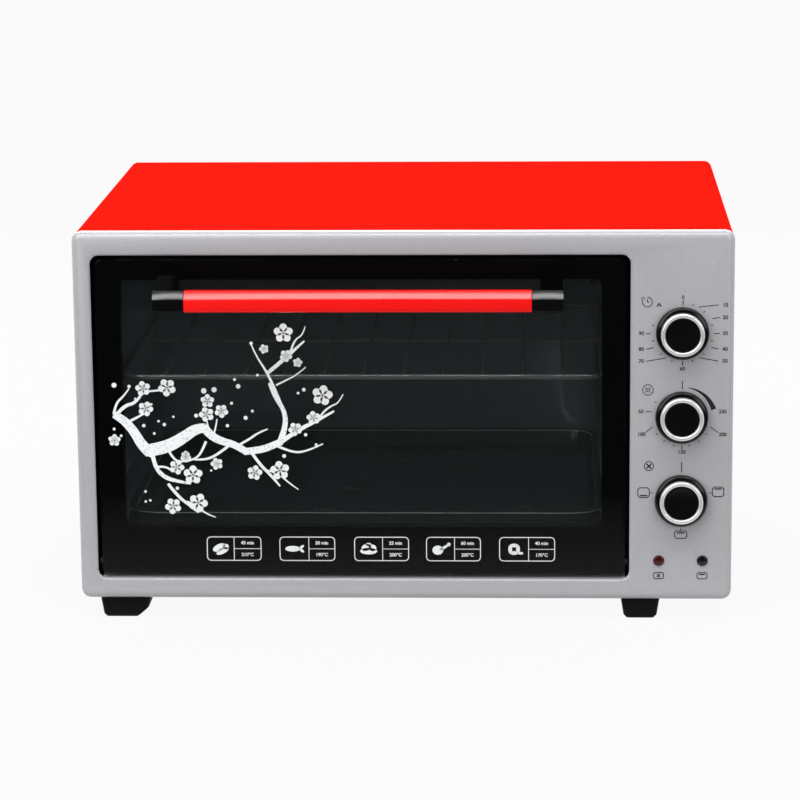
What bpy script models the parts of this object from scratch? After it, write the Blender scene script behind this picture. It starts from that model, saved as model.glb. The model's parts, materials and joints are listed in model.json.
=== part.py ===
"""A table-top mini oven with a drop-down glass door, three knobs and two lamps.

The oven stands on z = 0 and faces -Y. All lengths are in metres.
"""
import math
from typing import NamedTuple

import bmesh
import bpy
from mathutils import Matrix, Vector

# Clearances, sheet metal and facets
GAP = 0.0003
RUNNING_GAP = 0.0006
OVERRUN = 0.004
SHEET = 0.0012
CAVITY_SHEET = 0.0010
ROUND_STEPS = 16
FINE_ROUND_STEPS = 24
WIRE_STEPS = 8
CORNER_STEPS = 3
EDGE_STEPS = 3
RING_STEPS = 4
EDGE_PROFILE_SHARE = 0.5

# Whole oven
WIDTH = 0.570
FACE_HEIGHT = 0.3265
FOOT_HEIGHT = 0.018
DEPTH = 0.420
CONTROL_WIDTH = 0.0889

# Front frame, a moulded face with the door opening on the left
FRAME_WALL = 0.002
FRAME_RIM_DEPTH = 0.009
FRAME_CORNER_RADIUS = 0.008
FRAME_EDGE_RADIUS = 0.006
OPENING_LEFT_MARGIN = 0.0156
OPENING_BOTTOM_MARGIN = 0.0187
OPENING_TOP_MARGIN = 0.0206
OPENING_CORNER_RADIUS = 0.007
OPENING_LIP_RADIUS = 0.0022

# Door: two panes in a pressed frame, hung on pins near its lower edge
DOOR_RECESS = 0.001
DOOR_SIDE_GAP = 0.0035
DOOR_TOP_GAP = 0.0035
DOOR_BOTTOM_GAP = 0.004
DOOR_THICKNESS = 0.020
DOOR_SHEET = 0.0010
OUTER_PANE_THICKNESS = 0.004
OUTER_PANE_CORNER_RADIUS = 0.005
OUTER_PANE_EDGE_RADIUS = 0.0008
INNER_PANE_THICKNESS = 0.004
INNER_PANE_OVERLAP = 0.008
DOOR_FRAME_INSET = 0.004
DOOR_FRAME_LOW_INSET = 0.002
DOOR_FRAME_CORNER_RADIUS = 0.004
WINDOW_SIDE_INSET = 0.0065
WINDOW_LOW_INSET = 0.0205
WINDOW_HIGH_INSET = 0.007
WINDOW_CORNER_RADIUS = 0.004
SEAL_SPACE = 0.004
SEAL_WIDTH = 0.0046
SEAL_MARGIN = 0.0013
SEAL_CORNER_RADIUS = 0.006

# Door hinge and its stays
HINGE_RISE = 0.010
HINGE_SETBACK = 0.0075
PIN_RADIUS = 0.002
PIN_HEAD_RADIUS = 0.003
PIN_HEAD_LENGTH = 0.002
PIN_OVERHANG = 0.0008
EAR_RADIUS = 0.0032
EAR_THICKNESS = 0.0025
EAR_SPACE = 0.0035
BRACKET_FOOT_WIDTH = 0.012
BRACKET_FOOT_THICKNESS = 0.0025
BRACKET_FOOT_BELOW = 0.012
BRACKET_FOOT_ABOVE = 0.014
STAY_RADIUS = 0.052
STAY_BAND = 0.008
STAY_THICKNESS = 0.0025
STAY_LUG = 0.004
STAY_LUG_ANGLE = math.radians(110)
STAY_END_ANGLE = math.radians(115)
STAY_HEEL_THICKNESS = 0.0017
STAY_HEEL_WIDTH = 0.0034
STAY_HEEL_LOW = 0.036
STAY_HEEL_HIGH = 0.062
STAY_STEPS = 14

# Door springs behind the stays
SPRING_COIL_RADIUS = 0.0040
SPRING_WIRE_RADIUS = 0.0006
SPRING_BODY_LENGTH = 0.050
SPRING_LEG = 0.012
SPRING_TURNS = 6
SPRING_STEPS = 8
ANCHOR_WIDTH = 0.010
ANCHOR_THICKNESS = 0.0015
ANCHOR_HEIGHT = 0.016

# Handle on the outer pane
HANDLE_SIDE_SPACE = 0.05775
HANDLE_END_LENGTH = 0.0267
HANDLE_REACH = 0.038
HANDLE_HEIGHT = 0.0185
HANDLE_DEPTH = 0.013
HANDLE_DROP = 0.0307
HANDLE_SECTION_SHARES = (
    (0.10, 0.00), (0.76, 0.00), (0.94, 0.06), (1.00, 0.18), (1.00, 0.64),
    (0.62, 0.96), (0.50, 1.00), (0.10, 1.00), (0.00, 0.90), (0.00, 0.10),
)
HANDLE_LEG_WIDTH = 0.020
HANDLE_LEG_RISE = 0.008
HANDLE_LEG_INSET = 0.003
HANDLE_LEG_RADIUS = 0.002

# Cavity behind the door
CAVITY_SIDE_MARGIN = 0.01775
CAVITY_BOTTOM_MARGIN = 0.0255
CAVITY_TOP_MARGIN = 0.0147
CAVITY_END_SPACE = 0.066
MOUTH_SHEET = 0.0015
MOUTH_LEFT_MARGIN = 0.004
MOUTH_RIGHT_MARGIN = 0.012
MOUTH_TOP_MARGIN = 0.006
MOUTH_CORNER_RADIUS = 0.003
RUNNER_FIRST = 0.0257
RUNNER_PITCH_SHARE = 0.162
RUNNER_COUNT = 4
RUNNER_REACH = 0.007
RUNNER_FLAT = 0.004
RUNNER_SLOPE = 0.006
BACK_PANEL_INSET = 0.030
BACK_PANEL_DEPTH = 0.003

# Casing, base and back
CASING_INSET = 0.0005
CASING_CORNER_RADIUS = 0.0075
CASING_LIP = 0.012
SLOT_WIDTH = 0.003
SLOT_HEIGHT = 0.034
SLOT_PITCH = 0.009
SIDE_SLOTS = 9
SIDE_SLOT_START = 0.060
SIDE_SLOT_RISES = (0.070, 0.215)
BACK_SLOTS = 14
BACK_SLOT_PITCH = 0.012
BACK_SLOT_RISES = (0.085, 0.235)
BACK_FLANGE = 0.014
BASE_END_SPACE = 0.016
BASE_SLOTS = 8
BASE_SLOT_PITCH = 0.016
BASE_SLOT_LENGTH = 0.060

# Feet
FOOT_WIDTH = 0.044
FOOT_DEPTH = 0.034
FOOT_TAPER = 0.005
FOOT_CORNER_RADIUS = 0.005
FOOT_CHAMFER_RUN = 0.012
FOOT_CHAMFER_RISE = 0.013
FOOT_FRONT_SETBACK = 0.005
FOOT_REAR_SETBACK = 0.030
FOOT_LEFT_OFFSET = 0.016
FOOT_RIGHT_OFFSET = 0.062
FOOT_BOSS_RADIUS = 0.008
FOOT_SPIGOT_RADIUS = 0.004
FOOT_SPIGOT_HEIGHT = 0.006
FOOT_SPIGOT_SETBACK = 0.0145

# Heating rods
ROD_RADIUS = 0.004
ROD_CERAMIC_RADIUS = 0.006
ROD_CERAMIC_LENGTH = 0.008
ROD_PIN_RADIUS = 0.0015
ROD_PIN_LENGTH = 0.006
ROD_FLOOR_SPACE = 0.001
ROD_ROOF_SPACE = 0.008
ROD_DEPTH_SHARES = (0.28, 0.72)

# Rack and tray
SHELF_SIDE_SPACE = 0.003
SHELF_FRONT_SPACE = 0.0032
RACK_END_SPACE = 0.014
RACK_RAIL_RADIUS = 0.0025
RACK_WIRE_RADIUS = 0.0015
RACK_CORNER_RADIUS = 0.012
RACK_WIRES = 11
RACK_RUNNER = 3
TRAY_END_SPACE = 0.018
TRAY_SHEET = 0.0010
TRAY_SINK = 0.015
TRAY_RIM = 0.007
TRAY_TAPER = 0.005
TRAY_CORNER_RADIUS = 0.022
TRAY_RUNNER = 0

# Knobs and what they turn
KNOB_RISE_SHARE = 0.2760
KNOB_PITCH_SHARE = 0.2265
KNOB_GAP = 0.0008
KNOB_BASE_RADIUS = 0.0229
KNOB_SKIRT_HEIGHT = 0.0072
KNOB_SEAT_RADIUS = 0.0196
KNOB_SKIRT_SHARES = ((0.28, 0.97), (0.64, 0.86), (0.88, 0.68), (1.00, 0.40))
KNOB_RING_RADIUS = 0.01925
KNOB_RING_BORE = 0.0150
KNOB_RING_HEIGHT = 0.0054
KNOB_RING_ROUND = 0.0016
KNOB_SPIGOT_HEIGHT = 0.0015
KNOB_CAP_HEIGHT = 0.0028
KNOB_CAP_DISH = 0.0010
KNOB_RECESS_RADIUS = 0.0078
KNOB_RECESS_DEPTH = 0.0034
KNOB_SOCKET_DEPTH = 0.0062
SPINDLE_RADIUS = 0.003
SPINDLE_TAIL = 0.016
BUSH_RADIUS = 0.005
BUSH_REACH = 0.002
UNIT_PLATE_WIDTH = 0.046
UNIT_PLATE_HEIGHT = 0.050
UNIT_PLATE_THICKNESS = 0.0015
TIMER_CAN_RADIUS = 0.022
TIMER_CAN_DEPTH = 0.030
THERMOSTAT_CAN_RADIUS = 0.018
THERMOSTAT_CAN_DEPTH = 0.016
SWITCH_BLOCK_WIDTH = 0.036
SWITCH_BLOCK_DEPTH = 0.026
BLADE_WIDTH = 0.0063
BLADE_THICKNESS = 0.0008
BLADE_LENGTH = 0.009
BLADE_SPREAD = 0.0105

# Thermostat bulb and its capillary
BULB_RADIUS = 0.003
BULB_LENGTH = 0.070
BULB_WALL_SPACE = 0.012
BULB_DROP = 0.034
BULB_START = 0.110
CAPILLARY_RADIUS = 0.0009
CAPILLARY_BEND = 0.009
CAPILLARY_LEAD = 0.010

# Indicator lamps
LAMP_RISE = 0.0360
LAMP_SPREAD = 0.0189
LENS_RADIUS = 0.0048
LENS_DOME = 0.0014
LENS_RIM = 0.0006
LENS_BARREL_RADIUS = 0.0041
LENS_BARREL_LENGTH = 0.011
HOLDER_RADIUS = 0.0065
HOLDER_LENGTH = 0.015

# Mains terminal block and the grommet that the cord would leave through
TERMINAL_WIDTH = 0.036
TERMINAL_DEPTH = 0.020
TERMINAL_HEIGHT = 0.014
TERMINAL_SIDE_SPACE = 0.030
TERMINAL_BACK_SPACE = 0.012
TERMINAL_SCREW_RADIUS = 0.0025
TERMINAL_WAYS = 3
GROMMET_RADIUS = 0.009
GROMMET_NECK_RADIUS = 0.0065
GROMMET_BORE = 0.004
GROMMET_REACH = 0.003
GROMMET_SIDE_MARGIN = 0.048
GROMMET_RISE = 0.034

# Finishes: colour as sRGB hex, roughness, metallic, opacity
FINISHES = {
    "silver_paint": ("A2A2A6", 0.42, 0.0, 1.0),
    "red_enamel": ("F3170F", 0.35, 0.0, 1.0),
    "black_glass": ("08080A", 0.08, 0.0, 0.45),
    "clear_glass": ("C9D4D2", 0.05, 0.0, 0.35),
    "galvanised_sheet": ("9DA0A2", 0.40, 0.9, 1.0),
    "cavity_enamel": ("4A4D50", 0.38, 0.2, 1.0),
    "steel": ("B4B6B8", 0.30, 1.0, 1.0),
    "chrome": ("E2E3E5", 0.08, 1.0, 1.0),
    "gloss_black": ("060607", 0.15, 0.0, 1.0),
    "red_lacquer": ("D8100E", 0.25, 0.0, 1.0),
    "black_rubber": ("101011", 0.70, 0.0, 1.0),
    "grey_silicone": ("55585A", 0.60, 0.0, 1.0),
    "black_enamel": ("141416", 0.30, 0.0, 1.0),
    "ceramic": ("E9E6DE", 0.55, 0.0, 1.0),
    "phenolic": ("1B1917", 0.50, 0.0, 1.0),
    "white_plastic": ("E4E2DA", 0.45, 0.0, 1.0),
    "copper": ("B87350", 0.35, 1.0, 1.0),
    "red_lens": ("6E0A0C", 0.12, 0.0, 1.0),
}


class Rect(NamedTuple):
    """A rectangle in the plane of a piece: across from left to right, up from low to high."""
    left: float
    low: float
    right: float
    high: float

    def grown(self, by):
        return Rect(self.left - by, self.low - by, self.right + by, self.high + by)


# Sizes and places worked out from the driving sizes
OPENING_WIDTH = WIDTH - OPENING_LEFT_MARGIN - CONTROL_WIDTH
OPENING_HEIGHT = FACE_HEIGHT - OPENING_BOTTOM_MARGIN - OPENING_TOP_MARGIN
HANDLE_LENGTH = OPENING_WIDTH - 2 * HANDLE_SIDE_SPACE
CAVITY_WIDTH = OPENING_WIDTH - 2 * CAVITY_SIDE_MARGIN
CAVITY_HEIGHT = OPENING_HEIGHT - CAVITY_BOTTOM_MARGIN - CAVITY_TOP_MARGIN
CAVITY_DEPTH = DEPTH - CAVITY_END_SPACE
RUNNER_PITCH = CAVITY_HEIGHT * RUNNER_PITCH_SHARE
SHELF_WIDTH = CAVITY_WIDTH - 2 * SHELF_SIDE_SPACE
RACK_DEPTH = CAVITY_DEPTH - RACK_END_SPACE
TRAY_DEPTH = CAVITY_DEPTH - TRAY_END_SPACE
KNOB_PITCH = FACE_HEIGHT * KNOB_PITCH_SHARE
FACE_Y = (HANDLE_REACH - DOOR_RECESS - DEPTH - GROMMET_REACH) / 2
BACK_Y = FACE_Y + DEPTH
FACE = Rect(-WIDTH / 2, FOOT_HEIGHT, WIDTH / 2, FOOT_HEIGHT + FACE_HEIGHT)
OPENING = Rect(
    FACE.left + OPENING_LEFT_MARGIN,
    FACE.low + OPENING_BOTTOM_MARGIN,
    FACE.left + OPENING_LEFT_MARGIN + OPENING_WIDTH,
    FACE.low + OPENING_BOTTOM_MARGIN + OPENING_HEIGHT,
)
DOOR_X = (OPENING.left + OPENING.right) / 2
PANE = Rect(
    OPENING.left + DOOR_SIDE_GAP,
    OPENING.low + DOOR_BOTTOM_GAP,
    OPENING.right - DOOR_SIDE_GAP,
    OPENING.high - DOOR_TOP_GAP,
)
PANE_Y = FACE_Y + DOOR_RECESS
DOOR_FRAME = Rect(
    PANE.left + DOOR_FRAME_INSET,
    PANE.low + DOOR_FRAME_LOW_INSET,
    PANE.right - DOOR_FRAME_INSET,
    PANE.high - DOOR_FRAME_INSET,
)
DOOR_FRAME_Y = PANE_Y + OUTER_PANE_THICKNESS + GAP
DOOR_BACK_Y = PANE_Y + DOOR_THICKNESS
HINGE_Y = PANE_Y + HINGE_SETBACK
HINGE_Z = PANE.low + HINGE_RISE
MOUTH_Y = DOOR_BACK_Y + SEAL_SPACE
MOUTH_BACK_Y = MOUTH_Y + MOUTH_SHEET
CAVITY = Rect(
    DOOR_X - CAVITY_WIDTH / 2,
    OPENING.low + CAVITY_BOTTOM_MARGIN,
    DOOR_X + CAVITY_WIDTH / 2,
    OPENING.low + CAVITY_BOTTOM_MARGIN + CAVITY_HEIGHT,
)
CAVITY_FRONT_Y = MOUTH_BACK_Y + GAP
CAVITY_BACK_Y = CAVITY_FRONT_Y + CAVITY_DEPTH
WINDOW = Rect(
    CAVITY.left + WINDOW_SIDE_INSET,
    CAVITY.low + WINDOW_LOW_INSET,
    CAVITY.right - WINDOW_SIDE_INSET,
    CAVITY.high - WINDOW_HIGH_INSET,
)
CASING = Rect(
    FACE.left + CASING_INSET,
    FACE.low + CASING_INSET,
    FACE.right - CASING_INSET,
    FACE.high - CASING_INSET,
)
CASING_FRONT_Y = FACE_Y + FRAME_RIM_DEPTH + GAP
BASE_LOW = CASING.low + SHEET + GAP
BASE_HIGH = BASE_LOW + SHEET
BASE_FRONT_Y = CASING_FRONT_Y + GAP
BASE_BACK_Y = BACK_Y - BASE_END_SPACE
KNOB_X = (OPENING.right + FACE.right) / 2
KNOB_HEIGHTS = tuple(FACE.low + FACE_HEIGHT * KNOB_RISE_SHARE + KNOB_PITCH * row for row in (2, 1, 0))
UNIT_Y = FACE_Y + FRAME_WALL + GAP
LAMP_Z = FACE.low + LAMP_RISE
LAMP_XS = (KNOB_X - LAMP_SPREAD, KNOB_X + LAMP_SPREAD)
SHELF_Y = CAVITY_FRONT_Y + SHELF_FRONT_SPACE
STAY_LUG_RADIUS = STAY_RADIUS + STAY_BAND / 2 + STAY_LUG
SPRING_Z = HINGE_Z + STAY_LUG_RADIUS * math.cos(STAY_LUG_ANGLE)
SPRING_FRONT_Y = HINGE_Y + STAY_LUG_RADIUS * math.sin(STAY_LUG_ANGLE) + SPRING_WIRE_RADIUS + GAP
ANCHOR_Y = SPRING_FRONT_Y + SPRING_LEG * 2 + SPRING_BODY_LENGTH
GROMMET_X = FACE.right - GROMMET_SIDE_MARGIN
GROMMET_Z = FACE.low + GROMMET_RISE


# Planes that outlines are drawn in
def front_plane(across, up, along):
    """Outline in X and Z, stacked along Y."""
    return across, along, up


def top_plane(across, up, along):
    """Outline in X and Y, stacked along Z."""
    return across, up, along


def side_plane(across, up, along):
    """Outline in Y and Z, stacked along X."""
    return along, across, up


def mirrored(x):
    """The place across the door's middle line."""
    return 2 * DOOR_X - x


# Collections and finishes
def clear_scene():
    for item in list(bpy.data.objects):
        bpy.data.objects.remove(item, do_unlink=True)


def new_collection(name):
    group = bpy.data.collections.new(name)
    bpy.context.scene.collection.children.link(group)
    return group


def linear(channel):
    return channel / 12.92 if channel <= 0.04045 else ((channel + 0.055) / 1.055) ** 2.4


def paint(name, finish):
    """A Principled material for one piece."""
    colour, roughness, metallic, opacity = FINISHES[finish]
    material = bpy.data.materials.new(f"{name}_{finish}")
    material.use_nodes = True
    shader = material.node_tree.nodes["Principled BSDF"]
    channels = [linear(int(colour[start:start + 2], 16) / 255) for start in (0, 2, 4)]
    shader.inputs["Base Color"].default_value = (*channels, 1.0)
    shader.inputs["Roughness"].default_value = roughness
    shader.inputs["Metallic"].default_value = metallic
    shader.inputs["Alpha"].default_value = opacity
    return material


def keep(piece, finish, pivot=None):
    """Put a finished piece in the oven, on its pivot where it moves."""
    PARTS.objects.link(piece)
    piece.data.materials.clear()
    piece.data.materials.append(paint(piece.name, finish))
    piece.data.shade_smooth()
    piece.data.set_sharp_from_angle(angle=math.radians(35))
    if pivot is not None:
        piece.parent = pivot
        piece.matrix_parent_inverse = Matrix.Translation(pivot.location).inverted()
    return piece


def new_pivot(name, place):
    """An empty on a joint's axis, which carries the pieces that move on it."""
    pivot = bpy.data.objects.new(name, None)
    pivot.location = place
    PARTS.objects.link(pivot)
    return pivot


def combine(piece, tool, operation):
    """Cut a piece with a tool, or join the tool to it."""
    TOOLS.objects.link(tool)
    tool.hide_render = True
    tool.display_type = "WIRE"
    modifier = piece.modifiers.new(f"{operation.lower()} {tool.name}", "BOOLEAN")
    modifier.operation = operation
    modifier.object = tool
    modifier.solver = "EXACT"
    return piece


def cut(piece, *tools):
    for tool in tools:
        combine(piece, tool, "DIFFERENCE")
    return piece


def join(piece, *tools):
    for tool in tools:
        combine(piece, tool, "UNION")
    return piece


# Outlines
def rounded_outline(rect, radius, steps=CORNER_STEPS):
    """The points of a rectangle with round corners, anticlockwise from its lower right."""
    centres = (
        (rect.right - radius, rect.low + radius),
        (rect.right - radius, rect.high - radius),
        (rect.left + radius, rect.high - radius),
        (rect.left + radius, rect.low + radius),
    )
    points = []
    for quarter, (across, up) in enumerate(centres):
        for step in range(steps + 1):
            angle = math.pi / 2 * (quarter - 1 + step / steps)
            points.append((across + radius * math.cos(angle), up + radius * math.sin(angle)))
    return points


def square_outline(rect):
    return [(rect.left, rect.low), (rect.right, rect.low), (rect.right, rect.high), (rect.left, rect.high)]


def round_outline(across, up, radius, steps=ROUND_STEPS):
    turns = [2 * math.pi * step / steps for step in range(steps)]
    return [(across + radius * math.cos(turn), up + radius * math.sin(turn)) for turn in turns]


def rounded_front(rect, corner, edge, front, back):
    """Layers of a block whose front rim is rounded, from its front to its back."""
    layers = []
    for step in range(EDGE_STEPS + 1):
        angle = math.pi / 2 * step / EDGE_STEPS
        inset = edge * (1 - math.sin(angle))
        outline = rounded_outline(rect.grown(-inset), corner - inset)
        layers.append((outline, front + edge * (1 - math.cos(angle))))
    layers.append((rounded_outline(rect, corner), back))
    return layers


def rounded_path(points, radius, steps=CORNER_STEPS):
    """A path of straight runs with its inner corners turned on a radius."""
    path = [Vector(points[0])]
    for before, corner, after in zip(points, points[1:], points[2:]):
        corner = Vector(corner)
        back = (Vector(before) - corner).normalized()
        ahead = (Vector(after) - corner).normalized()
        half = back.angle(ahead) / 2
        reach = radius / math.tan(half)
        start = corner + back * reach
        end = corner + ahead * reach
        centre = corner + (back + ahead).normalized() * radius / math.sin(half)
        for step in range(steps + 1):
            arm = (start - centre).normalized().slerp((end - centre).normalized(), step / steps)
            path.append(centre + arm * radius)
    path.append(Vector(points[-1]))
    return path


# Solids
def new_object(name, shape):
    """An object from a bmesh, which it frees."""
    mesh = bpy.data.meshes.new(name)
    bmesh.ops.recalc_face_normals(shape, faces=shape.faces)
    shape.to_mesh(mesh)
    shape.free()
    return bpy.data.objects.new(name, mesh)


def stacked(name, layers, plane=front_plane):
    """A closed solid lofted through outlines that have equal counts of points."""
    shape = bmesh.new()
    rings = []
    for outline, along in layers:
        rings.append([shape.verts.new(plane(across, up, along)) for across, up in outline])
    for near, far in zip(rings, rings[1:]):
        for index in range(len(near)):
            after = (index + 1) % len(near)
            shape.faces.new((near[index], near[after], far[after], far[index]))
    shape.faces.new(rings[0])
    shape.faces.new(rings[-1])
    return new_object(name, shape)


def blocks(name, corners):
    """Cubes set between pairs of opposite corners, in one mesh."""
    shape = bmesh.new()
    for low, high in corners:
        cube = bmesh.ops.create_cube(shape, size=1)["verts"]
        bmesh.ops.scale(shape, vec=Vector(high) - Vector(low), verts=cube)
        bmesh.ops.translate(shape, vec=(Vector(high) + Vector(low)) / 2, verts=cube)
    return new_object(name, shape)


def block(name, low, high, radius=0, along=2):
    """A cube between two corners, with its edges along one axis rounded."""
    piece = blocks(name, [(low, high)])
    if radius:
        shape = bmesh.new()
        shape.from_mesh(piece.data)
        edges = []
        for edge in shape.edges:
            run = edge.verts[1].co - edge.verts[0].co
            if abs(run.normalized()[along]) > 0.9:
                edges.append(edge)
        bmesh.ops.bevel(
            shape, geom=edges, offset=radius, segments=CORNER_STEPS, profile=EDGE_PROFILE_SHARE,
            affect="EDGES", clamp_overlap=True
        )
        shape.to_mesh(piece.data)
        shape.free()
    return piece


def rods(name, runs, steps=ROUND_STEPS):
    """Round bars, each from a start to an end with a radius, in one mesh."""
    shape = bmesh.new()
    for start, end, radius in runs:
        run = Vector(end) - Vector(start)
        turn = run.to_track_quat("Z", "Y").to_matrix().to_4x4()
        place = Matrix.Translation((Vector(start) + Vector(end)) / 2) @ turn
        bmesh.ops.create_cone(
            shape, cap_ends=True, segments=steps, radius1=radius, radius2=radius,
            depth=run.length, matrix=place
        )
    return new_object(name, shape)


def turned(name, profile, place, turn, steps=ROUND_STEPS, closed=False):
    """A profile of radius and height spun round an axis; it runs down the outer side."""
    mesh = bpy.data.meshes.new(name)
    edges = [(index, index + 1) for index in range(len(profile) - 1)]
    if closed:
        edges.append((len(profile) - 1, 0))
    mesh.from_pydata([(radius, 0, height) for radius, height in profile], edges, [])
    piece = bpy.data.objects.new(name, mesh)
    piece.location = place
    piece.rotation_euler = turn
    screw = piece.modifiers.new("turned", "SCREW")
    screw.axis = "Z"
    screw.steps = steps
    screw.render_steps = steps
    screw.use_merge_vertices = True
    screw.merge_threshold = 0.00005
    return piece


def made_mesh(curve_object):
    """A mesh object with a curve's shape and place, in the curve's stead."""
    bpy.context.scene.collection.objects.link(curve_object)
    bpy.context.view_layer.update()
    graph = bpy.context.evaluated_depsgraph_get()
    mesh = bpy.data.meshes.new_from_object(curve_object.evaluated_get(graph))
    mesh.name = curve_object.name
    shape = bmesh.new()
    shape.from_mesh(mesh)
    bmesh.ops.remove_doubles(shape, verts=shape.verts, dist=0.00001)
    bmesh.ops.recalc_face_normals(shape, faces=shape.faces)
    shape.to_mesh(mesh)
    shape.free()
    name = curve_object.name
    place = curve_object.matrix_world.copy()
    bpy.data.objects.remove(curve_object, do_unlink=True)
    piece = bpy.data.objects.new(name, mesh)
    piece.matrix_world = place
    return piece


def plate(name, loops, start, thickness, plane=front_plane):
    """A flat outline with holes, given a thickness."""
    curve = bpy.data.curves.new(name, "CURVE")
    curve.dimensions = "2D"
    curve.fill_mode = "BOTH"
    curve.extrude = thickness / 2
    for loop in loops:
        spline = curve.splines.new("POLY")
        spline.points.add(len(loop) - 1)
        spline.use_cyclic_u = True
        for point, (across, up) in zip(spline.points, loop):
            point.co = (across, up, 0, 1)
    guide = bpy.data.objects.new(name, curve)
    middle = start + thickness / 2
    if plane is front_plane:
        guide.rotation_euler = (math.pi / 2, 0, 0)
        guide.location = (0, middle, 0)
    elif plane is side_plane:
        guide.rotation_euler = (math.pi / 2, 0, math.pi / 2)
        guide.location = (middle, 0, 0)
    else:
        guide.location = (0, 0, middle)
    return made_mesh(guide)


def tube(name, path, radius, closed=False, roundness=2):
    """A round wire along a path."""
    curve = bpy.data.curves.new(name, "CURVE")
    curve.dimensions = "3D"
    curve.bevel_depth = radius
    curve.bevel_resolution = roundness
    curve.use_fill_caps = True
    spline = curve.splines.new("POLY")
    spline.points.add(len(path) - 1)
    spline.use_cyclic_u = closed
    for point, place in zip(spline.points, path):
        point.co = (*place, 1)
    return made_mesh(bpy.data.objects.new(name, curve))


# Front frame
def make_front_frame():
    """The silver face: a rounded rim, a flange round the door opening, holes for the controls."""
    frame = stacked(
        "front_frame",
        rounded_front(FACE, FRAME_CORNER_RADIUS, FRAME_EDGE_RADIUS, FACE_Y, FACE_Y + FRAME_RIM_DEPTH),
    )
    pocket = stacked(
        "front_frame_pocket",
        rounded_front(
            FACE.grown(-FRAME_WALL),
            FRAME_CORNER_RADIUS - FRAME_WALL,
            FRAME_EDGE_RADIUS - FRAME_WALL,
            FACE_Y + FRAME_WALL,
            FACE_Y + FRAME_RIM_DEPTH + OVERRUN,
        ),
    )
    flange_outline = rounded_outline(OPENING.grown(FRAME_WALL), OPENING_CORNER_RADIUS + FRAME_WALL)
    flange = stacked(
        "front_frame_flange",
        [(flange_outline, FACE_Y + FRAME_WALL / 2), (flange_outline, MOUTH_Y - GAP)],
    )
    layers = []
    for step in range(EDGE_STEPS + 1):
        angle = math.pi / 2 * step / EDGE_STEPS
        flare = OPENING_LIP_RADIUS * (1 - math.sin(angle))
        outline = rounded_outline(OPENING.grown(flare), OPENING_CORNER_RADIUS + flare)
        layers.append((outline, FACE_Y + OPENING_LIP_RADIUS * (1 - math.cos(angle))))
    layers.insert(0, (layers[0][0], FACE_Y - OVERRUN))
    layers.append((layers[-1][0], MOUTH_Y + OVERRUN))
    opening = stacked("front_frame_opening", layers)
    holes = []
    for height in KNOB_HEIGHTS:
        holes.append((KNOB_X, height, BUSH_RADIUS + GAP))
    for across in LAMP_XS:
        holes.append((across, LAMP_Z, LENS_BARREL_RADIUS + GAP))
    drills = rods(
        "front_frame_holes",
        [
            ((across, FACE_Y - OVERRUN, up), (across, FACE_Y + FRAME_WALL + OVERRUN, up), radius)
            for across, up, radius in holes
        ],
    )
    cut(frame, pocket)
    join(frame, flange)
    cut(frame, opening, drills)
    return keep(frame, "silver_paint")


# Casing, base and back
def casing_outline():
    """The section of the wrap: lips under the oven, sides, and a top with round corners."""
    inner = CASING.grown(-SHEET)
    radius = CASING_CORNER_RADIUS
    outer_arcs = rounded_outline(CASING, radius)
    inner_arcs = rounded_outline(inner, radius - SHEET)
    per_corner = CORNER_STEPS + 1
    outer_top = outer_arcs[per_corner:3 * per_corner]
    inner_top = inner_arcs[per_corner:3 * per_corner]
    outline = [(CASING.right - CASING_LIP, CASING.low), (CASING.right, CASING.low)]
    outline += outer_top
    outline += [(CASING.left, CASING.low), (CASING.left + CASING_LIP, CASING.low)]
    outline += [(CASING.left + CASING_LIP, inner.low), (inner.left, inner.low)]
    outline += list(reversed(inner_top))
    outline += [(inner.right, inner.low), (CASING.right - CASING_LIP, inner.low)]
    return outline


def make_outer_casing():
    """The red wrap with cooling slots in both of its sides."""
    casing = plate("outer_casing", [casing_outline()], CASING_FRONT_Y, BACK_Y - CASING_FRONT_Y)
    slots = []
    for rise in SIDE_SLOT_RISES:
        for index in range(SIDE_SLOTS):
            start = FACE_Y + SIDE_SLOT_START + SLOT_PITCH * index
            low = FACE.low + rise
            for side in (CASING.left, CASING.right - SHEET):
                slots.append((
                    (side - OVERRUN, start, low),
                    (side + SHEET + OVERRUN, start + SLOT_WIDTH, low + SLOT_HEIGHT),
                ))
    cut(casing, blocks("outer_casing_slots", slots))
    return keep(casing, "red_enamel")


def foot_places():
    """The low front left corner of each foot's rectangle and the side its slope faces."""
    left = FACE.left + FOOT_LEFT_OFFSET
    right = FACE.right - FOOT_RIGHT_OFFSET - FOOT_DEPTH
    front = FACE_Y + FOOT_FRONT_SETBACK
    rear = BACK_Y - FOOT_REAR_SETBACK
    return {
        "foot_front_left": Rect(left, front, left + FOOT_WIDTH, front + FOOT_DEPTH),
        "foot_front_right": Rect(right, front, right + FOOT_DEPTH, front + FOOT_WIDTH),
        "foot_rear_left": Rect(left, rear - FOOT_DEPTH, left + FOOT_WIDTH, rear),
        "foot_rear_right": Rect(right, rear - FOOT_WIDTH, right + FOOT_DEPTH, rear),
    }


def spigot_place(rect):
    """Where a foot's spigot goes through the floor sheet, near the foot's outer edge."""
    along = rect.low + FOOT_SPIGOT_SETBACK if rect.low < 0 else rect.high - FOOT_SPIGOT_SETBACK
    return (rect.left + rect.right) / 2, along


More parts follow.
